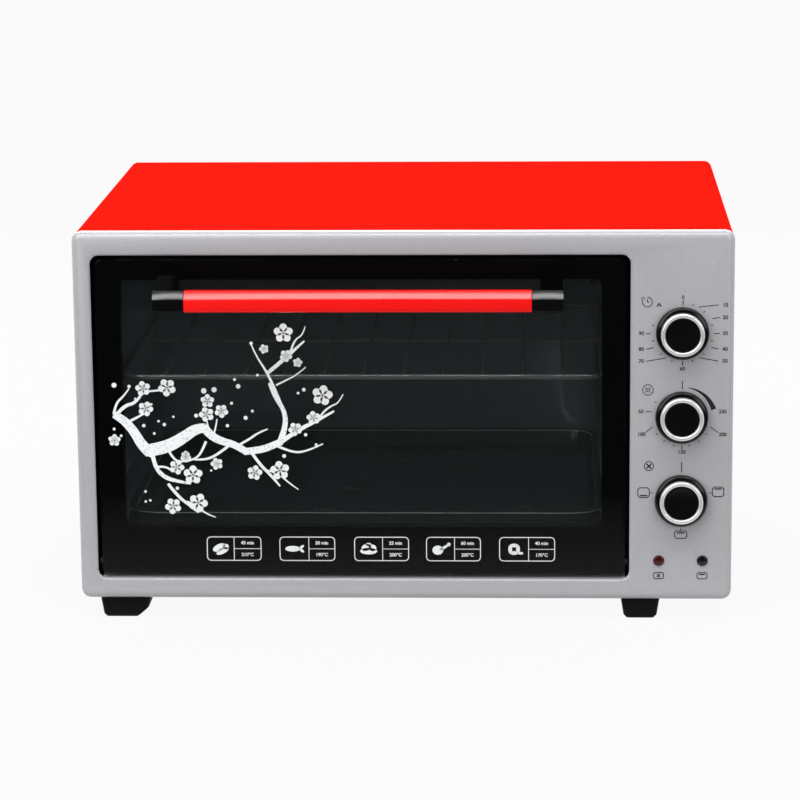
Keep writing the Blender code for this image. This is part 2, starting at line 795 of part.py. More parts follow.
def make_base_plate():
    """The floor sheet with turned-up ends, cooling slots and tabs that hold the springs."""
    high = OPENING.low - FRAME_WALL - GAP
    side = CASING.right - SHEET - GAP
    outline = [
        (BASE_FRONT_Y, BASE_LOW), (BASE_BACK_Y, BASE_LOW), (BASE_BACK_Y, high), (BASE_BACK_Y - SHEET, high),
        (BASE_BACK_Y - SHEET, BASE_HIGH), (BASE_FRONT_Y + SHEET, BASE_HIGH), (BASE_FRONT_Y + SHEET, high),
        (BASE_FRONT_Y, high),
    ]
    base = plate("base_plate", [outline], -side, 2 * side, side_plane)
    slots = []
    for row in (-1, 1):
        start = DOOR_X + row * CAVITY_WIDTH / 4 - BASE_SLOT_PITCH * (BASE_SLOTS - 1) / 2
        for index in range(BASE_SLOTS):
            across = start + BASE_SLOT_PITCH * index
            slots.append((
                (across, -BASE_SLOT_LENGTH / 2, BASE_LOW - OVERRUN),
                (across + SLOT_WIDTH, BASE_SLOT_LENGTH / 2, BASE_HIGH + OVERRUN),
            ))
    holes = []
    for rect in foot_places().values():
        across, along = spigot_place(rect)
        holes.append((
            (across, along, BASE_LOW - OVERRUN),
            (across, along, BASE_HIGH + OVERRUN),
            FOOT_SPIGOT_RADIUS + GAP,
        ))
    tabs = []
    for across in (stay_middle(), mirrored(stay_middle())):
        tabs.append((
            (across - ANCHOR_WIDTH / 2, ANCHOR_Y + SPRING_WIRE_RADIUS + GAP, BASE_LOW + SHEET / 2),
            (
                across + ANCHOR_WIDTH / 2,
                ANCHOR_Y + SPRING_WIRE_RADIUS + GAP + ANCHOR_THICKNESS,
                BASE_LOW + ANCHOR_HEIGHT,
            ),
        ))
    cut(base, blocks("base_plate_slots", slots), rods("base_plate_holes", holes))
    join(base, blocks("base_plate_tabs", tabs))
    return keep(base, "galvanised_sheet")


def make_rear_cover():
    """The back panel, a shallow pressing that sits in the end of the wrap."""
    rect = Rect(
        CASING.left + SHEET + GAP, CASING.low + SHEET + GAP,
        CASING.right - SHEET - GAP, CASING.high - SHEET - GAP,
    )
    corner = CASING_CORNER_RADIUS - SHEET
    outline = rounded_outline(rect, corner)
    cover = stacked("rear_cover", [(outline, BACK_Y - BACK_FLANGE), (outline, BACK_Y)])
    hollow_outline = rounded_outline(rect.grown(-SHEET), corner - SHEET)
    hollow = stacked(
        "rear_cover_hollow",
        [(hollow_outline, BACK_Y - BACK_FLANGE - OVERRUN), (hollow_outline, BACK_Y - SHEET)],
    )
    slots = []
    start = -BACK_SLOT_PITCH * (BACK_SLOTS - 1) / 2
    for rise in BACK_SLOT_RISES:
        for index in range(BACK_SLOTS):
            across = start + BACK_SLOT_PITCH * index
            slots.append((
                (across, BACK_Y - SHEET - OVERRUN, FACE.low + rise),
                (across + SLOT_WIDTH, BACK_Y + OVERRUN, FACE.low + rise + SLOT_HEIGHT),
            ))
    inlet = rods("rear_cover_inlet", [(
        (GROMMET_X, BACK_Y - SHEET - OVERRUN, GROMMET_Z), (GROMMET_X, BACK_Y + OVERRUN, GROMMET_Z),
        GROMMET_NECK_RADIUS + GAP,
    )])
    cut(cover, hollow, blocks("rear_cover_slots", slots), inlet)
    return keep(cover, "galvanised_sheet")


def make_feet():
    """Four moulded feet; the front pair shows, one seen along its sloped end."""
    top = FACE.low - GAP
    for name, rect in foot_places().items():
        sole = Rect(rect.left + FOOT_TAPER / 2, rect.low, rect.right - FOOT_TAPER / 2, rect.high)
        corner = FOOT_CORNER_RADIUS
        foot = stacked(
            name,
            [
                (rounded_outline(sole.grown(-corner / 2), corner / 2), 0),
                (rounded_outline(sole, corner), corner / 2),
                (rounded_outline(rect, corner), top),
            ],
            top_plane,
        )
        across, along = spigot_place(rect)
        boss_low = (across, along, top - OVERRUN)
        boss = rods(f"{name}_boss", [(boss_low, (across, along, BASE_LOW - GAP), FOOT_BOSS_RADIUS)])
        spigot = rods(
            f"{name}_spigot",
            [(boss_low, (across, along, BASE_HIGH + FOOT_SPIGOT_HEIGHT), FOOT_SPIGOT_RADIUS)],
        )
        if rect.right - rect.left > rect.high - rect.low:
            run = (rect.right - FOOT_CHAMFER_RUN, rect.right + OVERRUN)
            wedge = [(run[0], 0), (run[1], FOOT_CHAMFER_RISE), (run[1], -OVERRUN), (run[0], -OVERRUN)]
            slope = plate(
                f"{name}_slope", [wedge], rect.low - OVERRUN, rect.high - rect.low + 2 * OVERRUN
            )
        else:
            inward = 1 if rect.low < 0 else -1
            face = rect.high if inward > 0 else rect.low
            near = face - inward * FOOT_CHAMFER_RUN
            far = face + inward * OVERRUN
            wedge = [(near, 0), (far, FOOT_CHAMFER_RISE), (far, -OVERRUN), (near, -OVERRUN)]
            slope = plate(
                f"{name}_slope", [wedge], rect.left - OVERRUN,
                rect.right - rect.left + 2 * OVERRUN, side_plane,
            )
        join(foot, boss, spigot)
        cut(foot, slope)
        keep(foot, "black_rubber")


# Cavity
def make_cavity_mouth():
    """The sheet that the door closes on, with slots for the hinge ears and the stays."""
    rect = Rect(
        FACE.left + MOUTH_LEFT_MARGIN, BASE_HIGH + GAP, OPENING.right + MOUTH_RIGHT_MARGIN,
        FACE.high - MOUTH_TOP_MARGIN,
    )
    loops = [square_outline(rect), rounded_outline(CAVITY, MOUTH_CORNER_RADIUS)]
    ear = ear_span()
    arm = stay_span()
    stay_low, stay_high = stay_slot()
    for turn in (lambda x: x, mirrored):
        ends = sorted((turn(ear[0] - GAP), turn(ear[1] + GAP)))
        loops.append(square_outline(Rect(
            ends[0], HINGE_Z - EAR_RADIUS - GAP, ends[1], HINGE_Z + EAR_RADIUS + GAP,
        )))
        ends = sorted((turn(arm[0] - RUNNING_GAP), turn(arm[1] + RUNNING_GAP)))
        loops.append(square_outline(Rect(ends[0], stay_low, ends[1], stay_high)))
    return keep(plate("cavity_mouth", loops, MOUTH_Y, MOUTH_SHEET), "galvanised_sheet")


def runner_heights():
    return [CAVITY.low + RUNNER_FIRST + RUNNER_PITCH * index for index in range(RUNNER_COUNT)]


def wall_outline(edge, inward):
    """The section of a side wall, with a ledge pressed inward at each shelf height."""
    inner = [(edge, CAVITY.low)]
    outer = [(edge - inward * CAVITY_SHEET, CAVITY.low)]
    for top in runner_heights():
        reach = edge + inward * RUNNER_REACH
        for across, up, sink in (
            (edge, top - RUNNER_FLAT - RUNNER_SLOPE, 0),
            (reach, top - RUNNER_FLAT, 0),
            (reach, top, CAVITY_SHEET),
            (edge, top, CAVITY_SHEET),
        ):
            inner.append((across, up))
            outer.append((across - inward * CAVITY_SHEET, up - sink))
    inner.append((edge, CAVITY.high))
    outer.append((edge - inward * CAVITY_SHEET, CAVITY.high))
    return inner + list(reversed(outer))


def rod_places():
    """Where the heating rods run: name, depth and height."""
    low = CAVITY.low + ROD_FLOOR_SPACE + ROD_RADIUS
    high = CAVITY.high - ROD_ROOF_SPACE - ROD_RADIUS
    places = []
    for level, height in (("lower", low), ("upper", high)):
        for row, share in zip(("front", "rear"), ROD_DEPTH_SHARES):
            places.append((f"heating_rod_{level}_{row}", CAVITY_FRONT_Y + CAVITY_DEPTH * share, height))
    return places


def make_cavity():
    """Side walls with shelf ledges, a roof, a floor and a dished back."""
    drills = []
    for _, along, up in rod_places():
        drills.append(((0, along, up), ROD_RADIUS + GAP))
    for name, edge, inward in (
        ("cavity_left_wall", CAVITY.left, 1), ("cavity_right_wall", CAVITY.right, -1),
    ):
        wall = plate(name, [wall_outline(edge, inward)], CAVITY_FRONT_Y, CAVITY_DEPTH)
        runs = []
        for (_, along, up), radius in drills:
            runs.append(((edge - OVERRUN, along, up), (edge + OVERRUN, along, up), radius))
        if inward < 0:
            _, along, up = capillary_hole()
            runs.append(((edge - OVERRUN, along, up), (edge + OVERRUN, along, up), CAPILLARY_RADIUS + GAP))
        cut(wall, rods(f"{name}_holes", runs))
        keep(wall, "cavity_enamel")
    wide = CAVITY.grown(CAVITY_SHEET)
    deep = Rect(wide.left, CAVITY_FRONT_Y, wide.right, CAVITY_BACK_Y)
    roof = plate("cavity_roof", [square_outline(deep)], CAVITY.high + GAP, CAVITY_SHEET, top_plane)
    keep(roof, "cavity_enamel")
    floor_low = CAVITY.low - GAP - CAVITY_SHEET
    floor = plate("cavity_floor", [square_outline(deep)], floor_low, CAVITY_SHEET, top_plane)
    keep(floor, "cavity_enamel")
    back_rect = wide.grown(GAP)
    dish = CAVITY.grown(-BACK_PANEL_INSET)
    back = plate("cavity_back", [square_outline(back_rect)], CAVITY_BACK_Y + GAP, CAVITY_SHEET)
    swell = stacked("cavity_back_swell", [
        (rounded_outline(dish, BACK_PANEL_INSET / 2), CAVITY_BACK_Y + GAP + CAVITY_SHEET / 2),
        (
            rounded_outline(dish.grown(-BACK_PANEL_DEPTH), BACK_PANEL_INSET / 2),
            CAVITY_BACK_Y + GAP + CAVITY_SHEET + BACK_PANEL_DEPTH,
        ),
    ])
    hollow = stacked("cavity_back_hollow", [
        (
            rounded_outline(dish.grown(-CAVITY_SHEET + OVERRUN), BACK_PANEL_INSET / 2),
            CAVITY_BACK_Y + GAP - OVERRUN,
        ),
        (
            rounded_outline(dish.grown(-CAVITY_SHEET - BACK_PANEL_DEPTH), BACK_PANEL_INSET / 2),
            CAVITY_BACK_Y + GAP + BACK_PANEL_DEPTH,
        ),
    ])
    join(back, swell)
    cut(back, hollow)
    keep(back, "cavity_enamel")


def make_heating_rods():
    """Straight sheathed rods whose ceramic ends sit against the outside of the side walls."""
    half = CAVITY_WIDTH / 2 + CAVITY_SHEET + GAP
    for name, along, up in rod_places():
        profile = [
            (0, half + ROD_CERAMIC_LENGTH + ROD_PIN_LENGTH),
            (ROD_PIN_RADIUS, half + ROD_CERAMIC_LENGTH + ROD_PIN_LENGTH),
            (ROD_PIN_RADIUS, half + ROD_CERAMIC_LENGTH),
            (ROD_CERAMIC_RADIUS, half + ROD_CERAMIC_LENGTH),
            (ROD_CERAMIC_RADIUS, half),
            (ROD_RADIUS, half),
        ]
        profile += [(radius, -height) for radius, height in reversed(profile)]
        keep(turned(name, profile, (DOOR_X, along, up), (0, math.pi / 2, 0)), "steel")


# Hinge, stays and springs
def ear_span():
    """The left hinge ear from its outer to its inner side."""
    inner = DOOR_FRAME.left - EAR_SPACE
    return inner - EAR_THICKNESS, inner


def stay_span():
    """The left stay from its outer to its inner side."""
    outer = DOOR_FRAME.left + GAP
    return outer, outer + STAY_THICKNESS


def stay_middle():
    return sum(stay_span()) / 2


def stay_slot():
    """The low and high ends of the slot that a stay slides through."""
    near = MOUTH_Y - HINGE_Y
    far = MOUTH_BACK_Y - HINGE_Y
    low = math.sqrt((STAY_RADIUS - STAY_BAND / 2) ** 2 - far ** 2)
    high = math.sqrt((STAY_RADIUS + STAY_BAND / 2) ** 2 - near ** 2)
    return HINGE_Z + low - RUNNING_GAP, HINGE_Z + high + RUNNING_GAP


def on_stay(radius, angle):
    """A point round the hinge in Y and Z; the angle leans back from straight up."""
    return HINGE_Y + radius * math.sin(angle), HINGE_Z + radius * math.cos(angle)


def stay_outline():
    """An arc about the hinge, with a lug at its end that stops the door."""
    low = STAY_RADIUS - STAY_BAND / 2
    high = STAY_RADIUS + STAY_BAND / 2
    start = math.asin((DOOR_BACK_Y + GAP - HINGE_Y) / low)
    outline = []
    for step in range(STAY_STEPS + 1):
        outline.append(on_stay(low, start + (STAY_END_ANGLE - start) * step / STAY_STEPS))
    outline.append(on_stay(high + STAY_LUG, STAY_END_ANGLE))
    outline.append(on_stay(high + STAY_LUG, STAY_LUG_ANGLE))
    for step in range(STAY_STEPS + 1):
        outline.append(on_stay(high, STAY_LUG_ANGLE + (start - STAY_LUG_ANGLE) * step / STAY_STEPS))
    return outline


def make_hinge(pivot):
    """On each side: a bracket with an ear, a pin in the door, a curved stay and its spring."""
    for side, turn in (("left", lambda x: x), ("right", mirrored)):
        ear = sorted(turn(x) for x in ear_span())
        arm = sorted(turn(x) for x in stay_span())
        back = MOUTH_BACK_Y + GAP + BRACKET_FOOT_THICKNESS
        name = f"hinge_bracket_{side}"
        ear_rect = Rect(HINGE_Y - EAR_RADIUS, HINGE_Z - EAR_RADIUS, back, HINGE_Z + EAR_RADIUS)
        bracket = plate(name, [
            rounded_outline(ear_rect, EAR_RADIUS * 0.98),
            round_outline(HINGE_Y, HINGE_Z, PIN_RADIUS + GAP),
        ], ear[0], EAR_THICKNESS, side_plane)
        foot_xs = sorted((turn(ear_span()[0]), turn(ear_span()[0] + BRACKET_FOOT_WIDTH)))
        foot = block(
            f"{name}_foot",
            (foot_xs[0], MOUTH_BACK_Y + GAP, HINGE_Z - BRACKET_FOOT_BELOW),
            (foot_xs[1], back, HINGE_Z + BRACKET_FOOT_ABOVE),
        )
        join(bracket, foot)
        keep(bracket, "steel")

        wall = DOOR_FRAME.left + DOOR_SHEET + GAP
        tip = ear_span()[0] - PIN_OVERHANG
        profile = [
            (0, wall + PIN_HEAD_LENGTH),
            (PIN_HEAD_RADIUS, wall + PIN_HEAD_LENGTH),
            (PIN_HEAD_RADIUS, wall),
            (PIN_RADIUS, wall),
            (PIN_RADIUS, tip),
            (0, tip),
        ]
        if side == "right":
            profile = [(radius, mirrored(place)) for radius, place in reversed(profile)]
        pin = turned(f"hinge_pin_{side}", profile, (0, HINGE_Y, HINGE_Z), (0, math.pi / 2, 0), ROUND_STEPS)
        keep(pin, "steel", pivot)

        stay = plate(f"door_stay_{side}", [stay_outline()], arm[0], STAY_THICKNESS, side_plane)
        heel_xs = sorted((turn(stay_span()[0]), turn(stay_span()[0] + STAY_HEEL_WIDTH)))
        heel = block(
            f"door_stay_{side}_heel",
            (heel_xs[0], DOOR_BACK_Y + GAP, HINGE_Z + STAY_HEEL_LOW),
            (heel_xs[1], DOOR_BACK_Y + GAP + STAY_HEEL_THICKNESS, HINGE_Z + STAY_HEEL_HIGH),
        )
        join(stay, heel)
        keep(stay, "steel", pivot)

        wire = spring_path(turn(stay_middle()))
        keep(tube(f"door_spring_{side}", wire, SPRING_WIRE_RADIUS, roundness=1), "steel")


def spring_path(across):
    """A straight leg, the coil's turns by formula, and a straight leg."""
    path = [Vector((across, SPRING_FRONT_Y, SPRING_Z))]
    start = SPRING_FRONT_Y + SPRING_LEG
    count = SPRING_TURNS * SPRING_STEPS
    for step in range(count + 1):
        angle = 2 * math.pi * step / SPRING_STEPS
        path.append(Vector((
            across + SPRING_COIL_RADIUS * math.sin(angle),
            start + SPRING_BODY_LENGTH * step / count,
            SPRING_Z + SPRING_COIL_RADIUS * math.cos(angle),
        )))
    path.append(Vector((across, ANCHOR_Y, SPRING_Z)))
    return path


# Door
def make_door(pivot):
    """Outer pane, pressed frame, inner pane and seal."""
    pane = stacked(
        "door_outer_glass",
        rounded_front(
            PANE, OUTER_PANE_CORNER_RADIUS, OUTER_PANE_EDGE_RADIUS, PANE_Y, PANE_Y + OUTER_PANE_THICKNESS
        ),
    )
    keep(pane, "black_glass", pivot)

    corner = DOOR_FRAME_CORNER_RADIUS
    outline = rounded_outline(DOOR_FRAME, corner)
    frame = stacked("door_inner_frame", [(outline, DOOR_FRAME_Y), (outline, DOOR_BACK_Y)])
    hollow_outline = rounded_outline(DOOR_FRAME.grown(-DOOR_SHEET), corner - DOOR_SHEET)
    hollow = stacked(
        "door_inner_frame_hollow",
        [(hollow_outline, DOOR_FRAME_Y - OVERRUN), (hollow_outline, DOOR_BACK_Y - DOOR_SHEET)],
    )
    window_outline = rounded_outline(WINDOW, WINDOW_CORNER_RADIUS)
    window = stacked(
        "door_inner_frame_window",
        [(window_outline, DOOR_BACK_Y - OVERRUN), (window_outline, DOOR_BACK_Y + OVERRUN)],
    )
    holes = rods("door_inner_frame_holes", [
        ((side - OVERRUN, HINGE_Y, HINGE_Z), (side + OVERRUN, HINGE_Y, HINGE_Z), PIN_RADIUS + GAP)
        for side in (DOOR_FRAME.left, DOOR_FRAME.right)
    ])
    cut(frame, hollow, window, holes)
    keep(frame, "black_enamel", pivot)

    inner = WINDOW.grown(INNER_PANE_OVERLAP)
    inner_back = DOOR_BACK_Y - DOOR_SHEET - GAP
    inner_pane = block(
        "door_inner_glass",
        (inner.left, inner_back - INNER_PANE_THICKNESS, inner.low),
        (inner.right, inner_back, inner.high),
        WINDOW_CORNER_RADIUS,
        1,
    )
    keep(inner_pane, "clear_glass", pivot)

    outer_seal = CAVITY.grown(SEAL_MARGIN + SEAL_WIDTH)
    inner_seal = CAVITY.grown(SEAL_MARGIN)
    seal = plate("door_seal", [
        rounded_outline(outer_seal, SEAL_CORNER_RADIUS), rounded_outline(inner_seal, SEAL_CORNER_RADIUS / 2),
    ], DOOR_BACK_Y + GAP, SEAL_SPACE - 2 * GAP)
    keep(seal, "grey_silicone", pivot)


def handle_section():
    """The handle's outline in Y and Z: a flat front, and an upper face that leans back."""
    back = PANE_Y - HANDLE_REACH + HANDLE_DEPTH
    low = PANE.high - HANDLE_DROP - HANDLE_HEIGHT / 2
    return [
        (back - HANDLE_DEPTH * forward, low + HANDLE_HEIGHT * up) for forward, up in HANDLE_SECTION_SHARES
    ]


def make_handle(pivot):
    """A red bar held between two black ends, whose legs stand on the outer pane."""
    section = handle_section()
    low = min(up for _, up in section)
    high = max(up for _, up in section)
    half = HANDLE_LENGTH / 2
    bar_half = half - HANDLE_END_LENGTH
    bar = stacked("handle_bar", [(section, DOOR_X - bar_half), (section, DOOR_X + bar_half)], side_plane)
    keep(bar, "red_lacquer", pivot)
    for side, turn in (("left", -1), ("right", 1)):
        start = DOOR_X + turn * (bar_half + GAP)
        end = DOOR_X + turn * half
        cap = stacked(f"handle_end_{side}", [(section, start), (section, end)], side_plane)
        inner, outer = sorted((end, end - turn * HANDLE_LEG_WIDTH))
        inner += GAP
        outer -= GAP
        near = Rect(inner, low + HANDLE_LEG_INSET, outer, high - HANDLE_LEG_INSET)
        far = Rect(inner, low + HANDLE_LEG_INSET, outer, high + HANDLE_LEG_RISE)
        leg = stacked(f"handle_end_{side}_leg", [
            (rounded_outline(near, HANDLE_LEG_RADIUS), PANE_Y - HANDLE_REACH + HANDLE_DEPTH / 2),
            (rounded_outline(far, HANDLE_LEG_RADIUS), PANE_Y - GAP),
        ])
        join(cap, leg)
        keep(cap, "gloss_black", pivot)


# Rack and tray
def make_rack(pivot):
    """A chromed rack: a rail all round, thin wires front to back and one across."""
    height = runner_heights()[RACK_RUNNER] + GAP + RACK_RAIL_RADIUS
    half = SHELF_WIDTH / 2 - RACK_RAIL_RADIUS
    rect = Rect(
        DOOR_X - half, SHELF_Y + RACK_RAIL_RADIUS, DOOR_X + half, SHELF_Y + RACK_DEPTH - RACK_RAIL_RADIUS
    )
    rail = [(across, along, height) for across, along in rounded_outline(rect, RACK_CORNER_RADIUS)]
    rack = tube("wire_rack", rail, RACK_RAIL_RADIUS, closed=True)
    pitch = (rect.right - rect.left) / (RACK_WIRES + 1)
    weld = RACK_RAIL_RADIUS / 4
    for index in range(RACK_WIRES):
        across = rect.left + pitch * (index + 1)
        wire = rods(
            f"wire_rack_wire_{index}",
            [((across, rect.low - weld, height), (across, rect.high + weld, height), RACK_WIRE_RADIUS)],
            WIRE_STEPS,
        )
        join(rack, wire)
    along = (rect.low + rect.high) / 2
    low = height - RACK_RAIL_RADIUS + RACK_WIRE_RADIUS
    brace = rods(
        "wire_rack_brace",
        [((rect.left - weld, along, low), (rect.right + weld, along, low), RACK_WIRE_RADIUS)],
        WIRE_STEPS,
    )
    join(rack, brace)
    keep(rack, "chrome", pivot)


def make_tray(pivot):
    """An enamelled tray that hangs by its rim on the lowest ledges."""
    rim_low = runner_heights()[TRAY_RUNNER] + GAP
    rim_high = rim_low + TRAY_SHEET
    rim = Rect(
        DOOR_X - SHELF_WIDTH / 2, SHELF_Y, DOOR_X + SHELF_WIDTH / 2, SHELF_Y + TRAY_DEPTH
    )
    mouth = rim.grown(-TRAY_RIM)
    sole = mouth.grown(-TRAY_TAPER)
    corner = TRAY_CORNER_RADIUS
    tray = stacked("baking_tray", [
        (rounded_outline(sole, corner - TRAY_TAPER), rim_low - TRAY_SINK),
        (rounded_outline(mouth, corner), rim_low),
        (rounded_outline(rim, corner + TRAY_RIM), rim_low),
        (rounded_outline(rim, corner + TRAY_RIM), rim_high),
    ], top_plane)
    inner_mouth = mouth.grown(-TRAY_SHEET)
    inner_sole = sole.grown(-TRAY_SHEET)
    hollow = stacked("baking_tray_hollow", [
        (rounded_outline(inner_sole, corner - TRAY_TAPER - TRAY_SHEET), rim_low - TRAY_SINK + TRAY_SHEET),
        (rounded_outline(inner_mouth, corner - TRAY_SHEET), rim_low),
        (rounded_outline(inner_mouth, corner - TRAY_SHEET), rim_high + OVERRUN),
    ], top_plane)
    cut(tray, hollow)
    keep(tray, "black_enamel", pivot)


# Controls
FACING = (math.pi / 2, 0, 0)


def make_knob(name, height, pivot):
    """A knob turned about an axis towards the viewer: skirt, bright ring, cap and spindle."""
    place = (KNOB_X, FACE_Y, height)
    seat = KNOB_SKIRT_HEIGHT
    rise = seat - KNOB_GAP
    widen = KNOB_BASE_RADIUS - KNOB_SEAT_RADIUS
    spigot = KNOB_RING_BORE - GAP
    cap_low = seat + KNOB_SPIGOT_HEIGHT + GAP
    profile = [(0, seat + KNOB_SPIGOT_HEIGHT), (spigot, seat + KNOB_SPIGOT_HEIGHT), (spigot, seat)]
    profile.append((KNOB_SEAT_RADIUS, seat))
    for out, up in KNOB_SKIRT_SHARES:
        profile.append((KNOB_SEAT_RADIUS + widen * out, KNOB_GAP + rise * up))
    profile += [
        (KNOB_BASE_RADIUS, KNOB_GAP),
        (KNOB_RECESS_RADIUS, KNOB_GAP),
        (KNOB_RECESS_RADIUS, KNOB_GAP + KNOB_RECESS_DEPTH),
        (SPINDLE_RADIUS + GAP, KNOB_GAP + KNOB_RECESS_DEPTH),
        (SPINDLE_RADIUS + GAP, KNOB_GAP + KNOB_SOCKET_DEPTH),
        (0, KNOB_GAP + KNOB_SOCKET_DEPTH),
    ]
    keep(turned(f"{name}_knob", profile, place, FACING, FINE_ROUND_STEPS), "gloss_black", pivot)

    ring_low = seat + GAP
    ring_high = ring_low + KNOB_RING_HEIGHT
    half = (KNOB_RING_RADIUS - KNOB_RING_BORE) / 2
    ring = []
    for step in range(RING_STEPS + 1):
        angle = math.pi * (1 - step / RING_STEPS)
        ring.append((
            KNOB_RING_BORE + half + half * math.cos(angle),
            ring_high - KNOB_RING_ROUND * (1 - math.sin(angle)),
        ))
    ring += [(KNOB_RING_RADIUS, ring_low), (KNOB_RING_BORE, ring_low)]
    keep(turned(f"{name}_knob_ring", ring, place, FACING, FINE_ROUND_STEPS, closed=True), "chrome", pivot)

    cap_high = cap_low + KNOB_CAP_HEIGHT
    cap_radius = KNOB_RING_BORE - GAP
    cap = [
        (0, cap_high - KNOB_CAP_DISH),
        (cap_radius / 2, cap_high - KNOB_CAP_DISH * 3 / 4),
        (cap_radius - KNOB_CAP_DISH, cap_high),
        (cap_radius, cap_high - KNOB_CAP_DISH),
        (cap_radius, cap_low),
        (0, cap_low),
    ]
    keep(turned(f"{name}_knob_cap", cap, place, FACING, FINE_ROUND_STEPS), "gloss_black", pivot)

    front = FACE_Y - KNOB_GAP - KNOB_SOCKET_DEPTH + GAP
    tail = (KNOB_X, FACE_Y + SPINDLE_TAIL, height)
    spindle = rods(f"{name}_spindle", [((KNOB_X, front, height), tail, SPINDLE_RADIUS)])
    keep(spindle, "steel", pivot)


def make_unit(name, height, body, finish):
    """A control behind the face: a mounting plate, a body, a threaded bush and blades."""
    plate_piece = block(
        name,
        (KNOB_X - UNIT_PLATE_WIDTH / 2, UNIT_Y, height - UNIT_PLATE_HEIGHT / 2),
        (KNOB_X + UNIT_PLATE_WIDTH / 2, UNIT_Y + UNIT_PLATE_THICKNESS, height + UNIT_PLATE_HEIGHT / 2),
        UNIT_PLATE_THICKNESS,
        1,
    )
    back = UNIT_Y + UNIT_PLATE_THICKNESS
    can_front = (KNOB_X, back - UNIT_PLATE_THICKNESS / 2, height)
    if body == "can":
        depth = TIMER_CAN_DEPTH
        lump = rods(f"{name}_body", [(can_front, (KNOB_X, back + depth, height), TIMER_CAN_RADIUS)])
    elif body == "disc":
        depth = THERMOSTAT_CAN_DEPTH
        lump = rods(f"{name}_body", [(can_front, (KNOB_X, back + depth, height), THERMOSTAT_CAN_RADIUS)])
    else:
        depth = SWITCH_BLOCK_DEPTH
        half = SWITCH_BLOCK_WIDTH / 2
        lump = block(
            f"{name}_body",
            (KNOB_X - half, back - UNIT_PLATE_THICKNESS / 2, height - half),
            (KNOB_X + half, back + depth, height + half),
            UNIT_PLATE_THICKNESS,
            1,
        )
    blades = []
    for across in (-BLADE_SPREAD, BLADE_SPREAD):
        blades.append((
            (KNOB_X + across - BLADE_WIDTH / 2, back + depth - OVERRUN, height - BLADE_THICKNESS / 2),
            (KNOB_X + across + BLADE_WIDTH / 2, back + depth + BLADE_LENGTH, height + BLADE_THICKNESS / 2),
        ))
    bush_end = back + OVERRUN
    bush_front = (KNOB_X, FACE_Y - BUSH_REACH, height)
    bush = rods(f"{name}_bush", [(bush_front, (KNOB_X, bush_end, height), BUSH_RADIUS)])
    bore = rods(f"{name}_bore", [(
        (KNOB_X, FACE_Y - BUSH_REACH - OVERRUN, height),
        (KNOB_X, FACE_Y + SPINDLE_TAIL + GAP, height),
        SPINDLE_RADIUS + GAP,
    )])
    join(plate_piece, lump, blocks(f"{name}_blades", blades), bush)
    cut(plate_piece, bore)
    keep(plate_piece, finish)


def capillary_hole():
    """Where the capillary passes the right wall of the cavity."""
    along = CAVITY_FRONT_Y + BULB_START + BULB_LENGTH + 2 * CAPILLARY_LEAD
    return CAVITY.right, along, CAVITY.high - BULB_DROP


def make_bulb():
    """The thermostat's bulb by the right wall, and the fine tube from it to the thermostat."""
    _, along, up = capillary_hole()
    across = CAVITY.right - BULB_WALL_SPACE
    start = CAVITY_FRONT_Y + BULB_START
    end = start + BULB_LENGTH
    thermostat_back = UNIT_Y + UNIT_PLATE_THICKNESS + THERMOSTAT_CAN_DEPTH + GAP
    height = KNOB_HEIGHTS[1] + BLADE_SPREAD
    corners = [
        (across, end - CAPILLARY_LEAD, up),
        (across, along, up),
        (CAVITY.right + BULB_WALL_SPACE, along, up),
        (KNOB_X, along, height),
        (KNOB_X, thermostat_back, height),
    ]
    line = tube("thermostat_bulb", rounded_path(corners, CAPILLARY_BEND), CAPILLARY_RADIUS)
    bulb = rods("thermostat_bulb_body", [((across, start, up), (across, end, up), BULB_RADIUS)])
    join(line, bulb)
    keep(line, "copper")


def make_lamps():
    """Two red lenses in the face, each in a holder behind it."""
    for side, across in zip(("left", "right"), LAMP_XS):
        place = (across, FACE_Y, LAMP_Z)
        lens = [
            (0, LENS_RIM + LENS_DOME),
            (LENS_RADIUS / 2, LENS_RIM + LENS_DOME * 0.8),
            (LENS_RADIUS, LENS_RIM),
            (LENS_RADIUS, GAP),
            (LENS_BARREL_RADIUS, GAP),
            (LENS_BARREL_RADIUS, -LENS_BARREL_LENGTH),
            (0, -LENS_BARREL_LENGTH),
        ]
        keep(turned(f"indicator_lens_{side}", lens, place, FACING), "red_lens")
        front = -FRAME_WALL - GAP
        holder = [
            (LENS_BARREL_RADIUS + GAP, front),
            (HOLDER_RADIUS, front),
            (HOLDER_RADIUS, -HOLDER_LENGTH),
            (0, -HOLDER_LENGTH),
            (0, -LENS_BARREL_LENGTH - GAP),
            (LENS_BARREL_RADIUS + GAP, -LENS_BARREL_LENGTH - GAP),
        ]
        outer = holder[:4]
        inner = holder[4:]
        keep(turned(f"indicator_holder_{side}", inner + outer, place, FACING), "white_plastic")


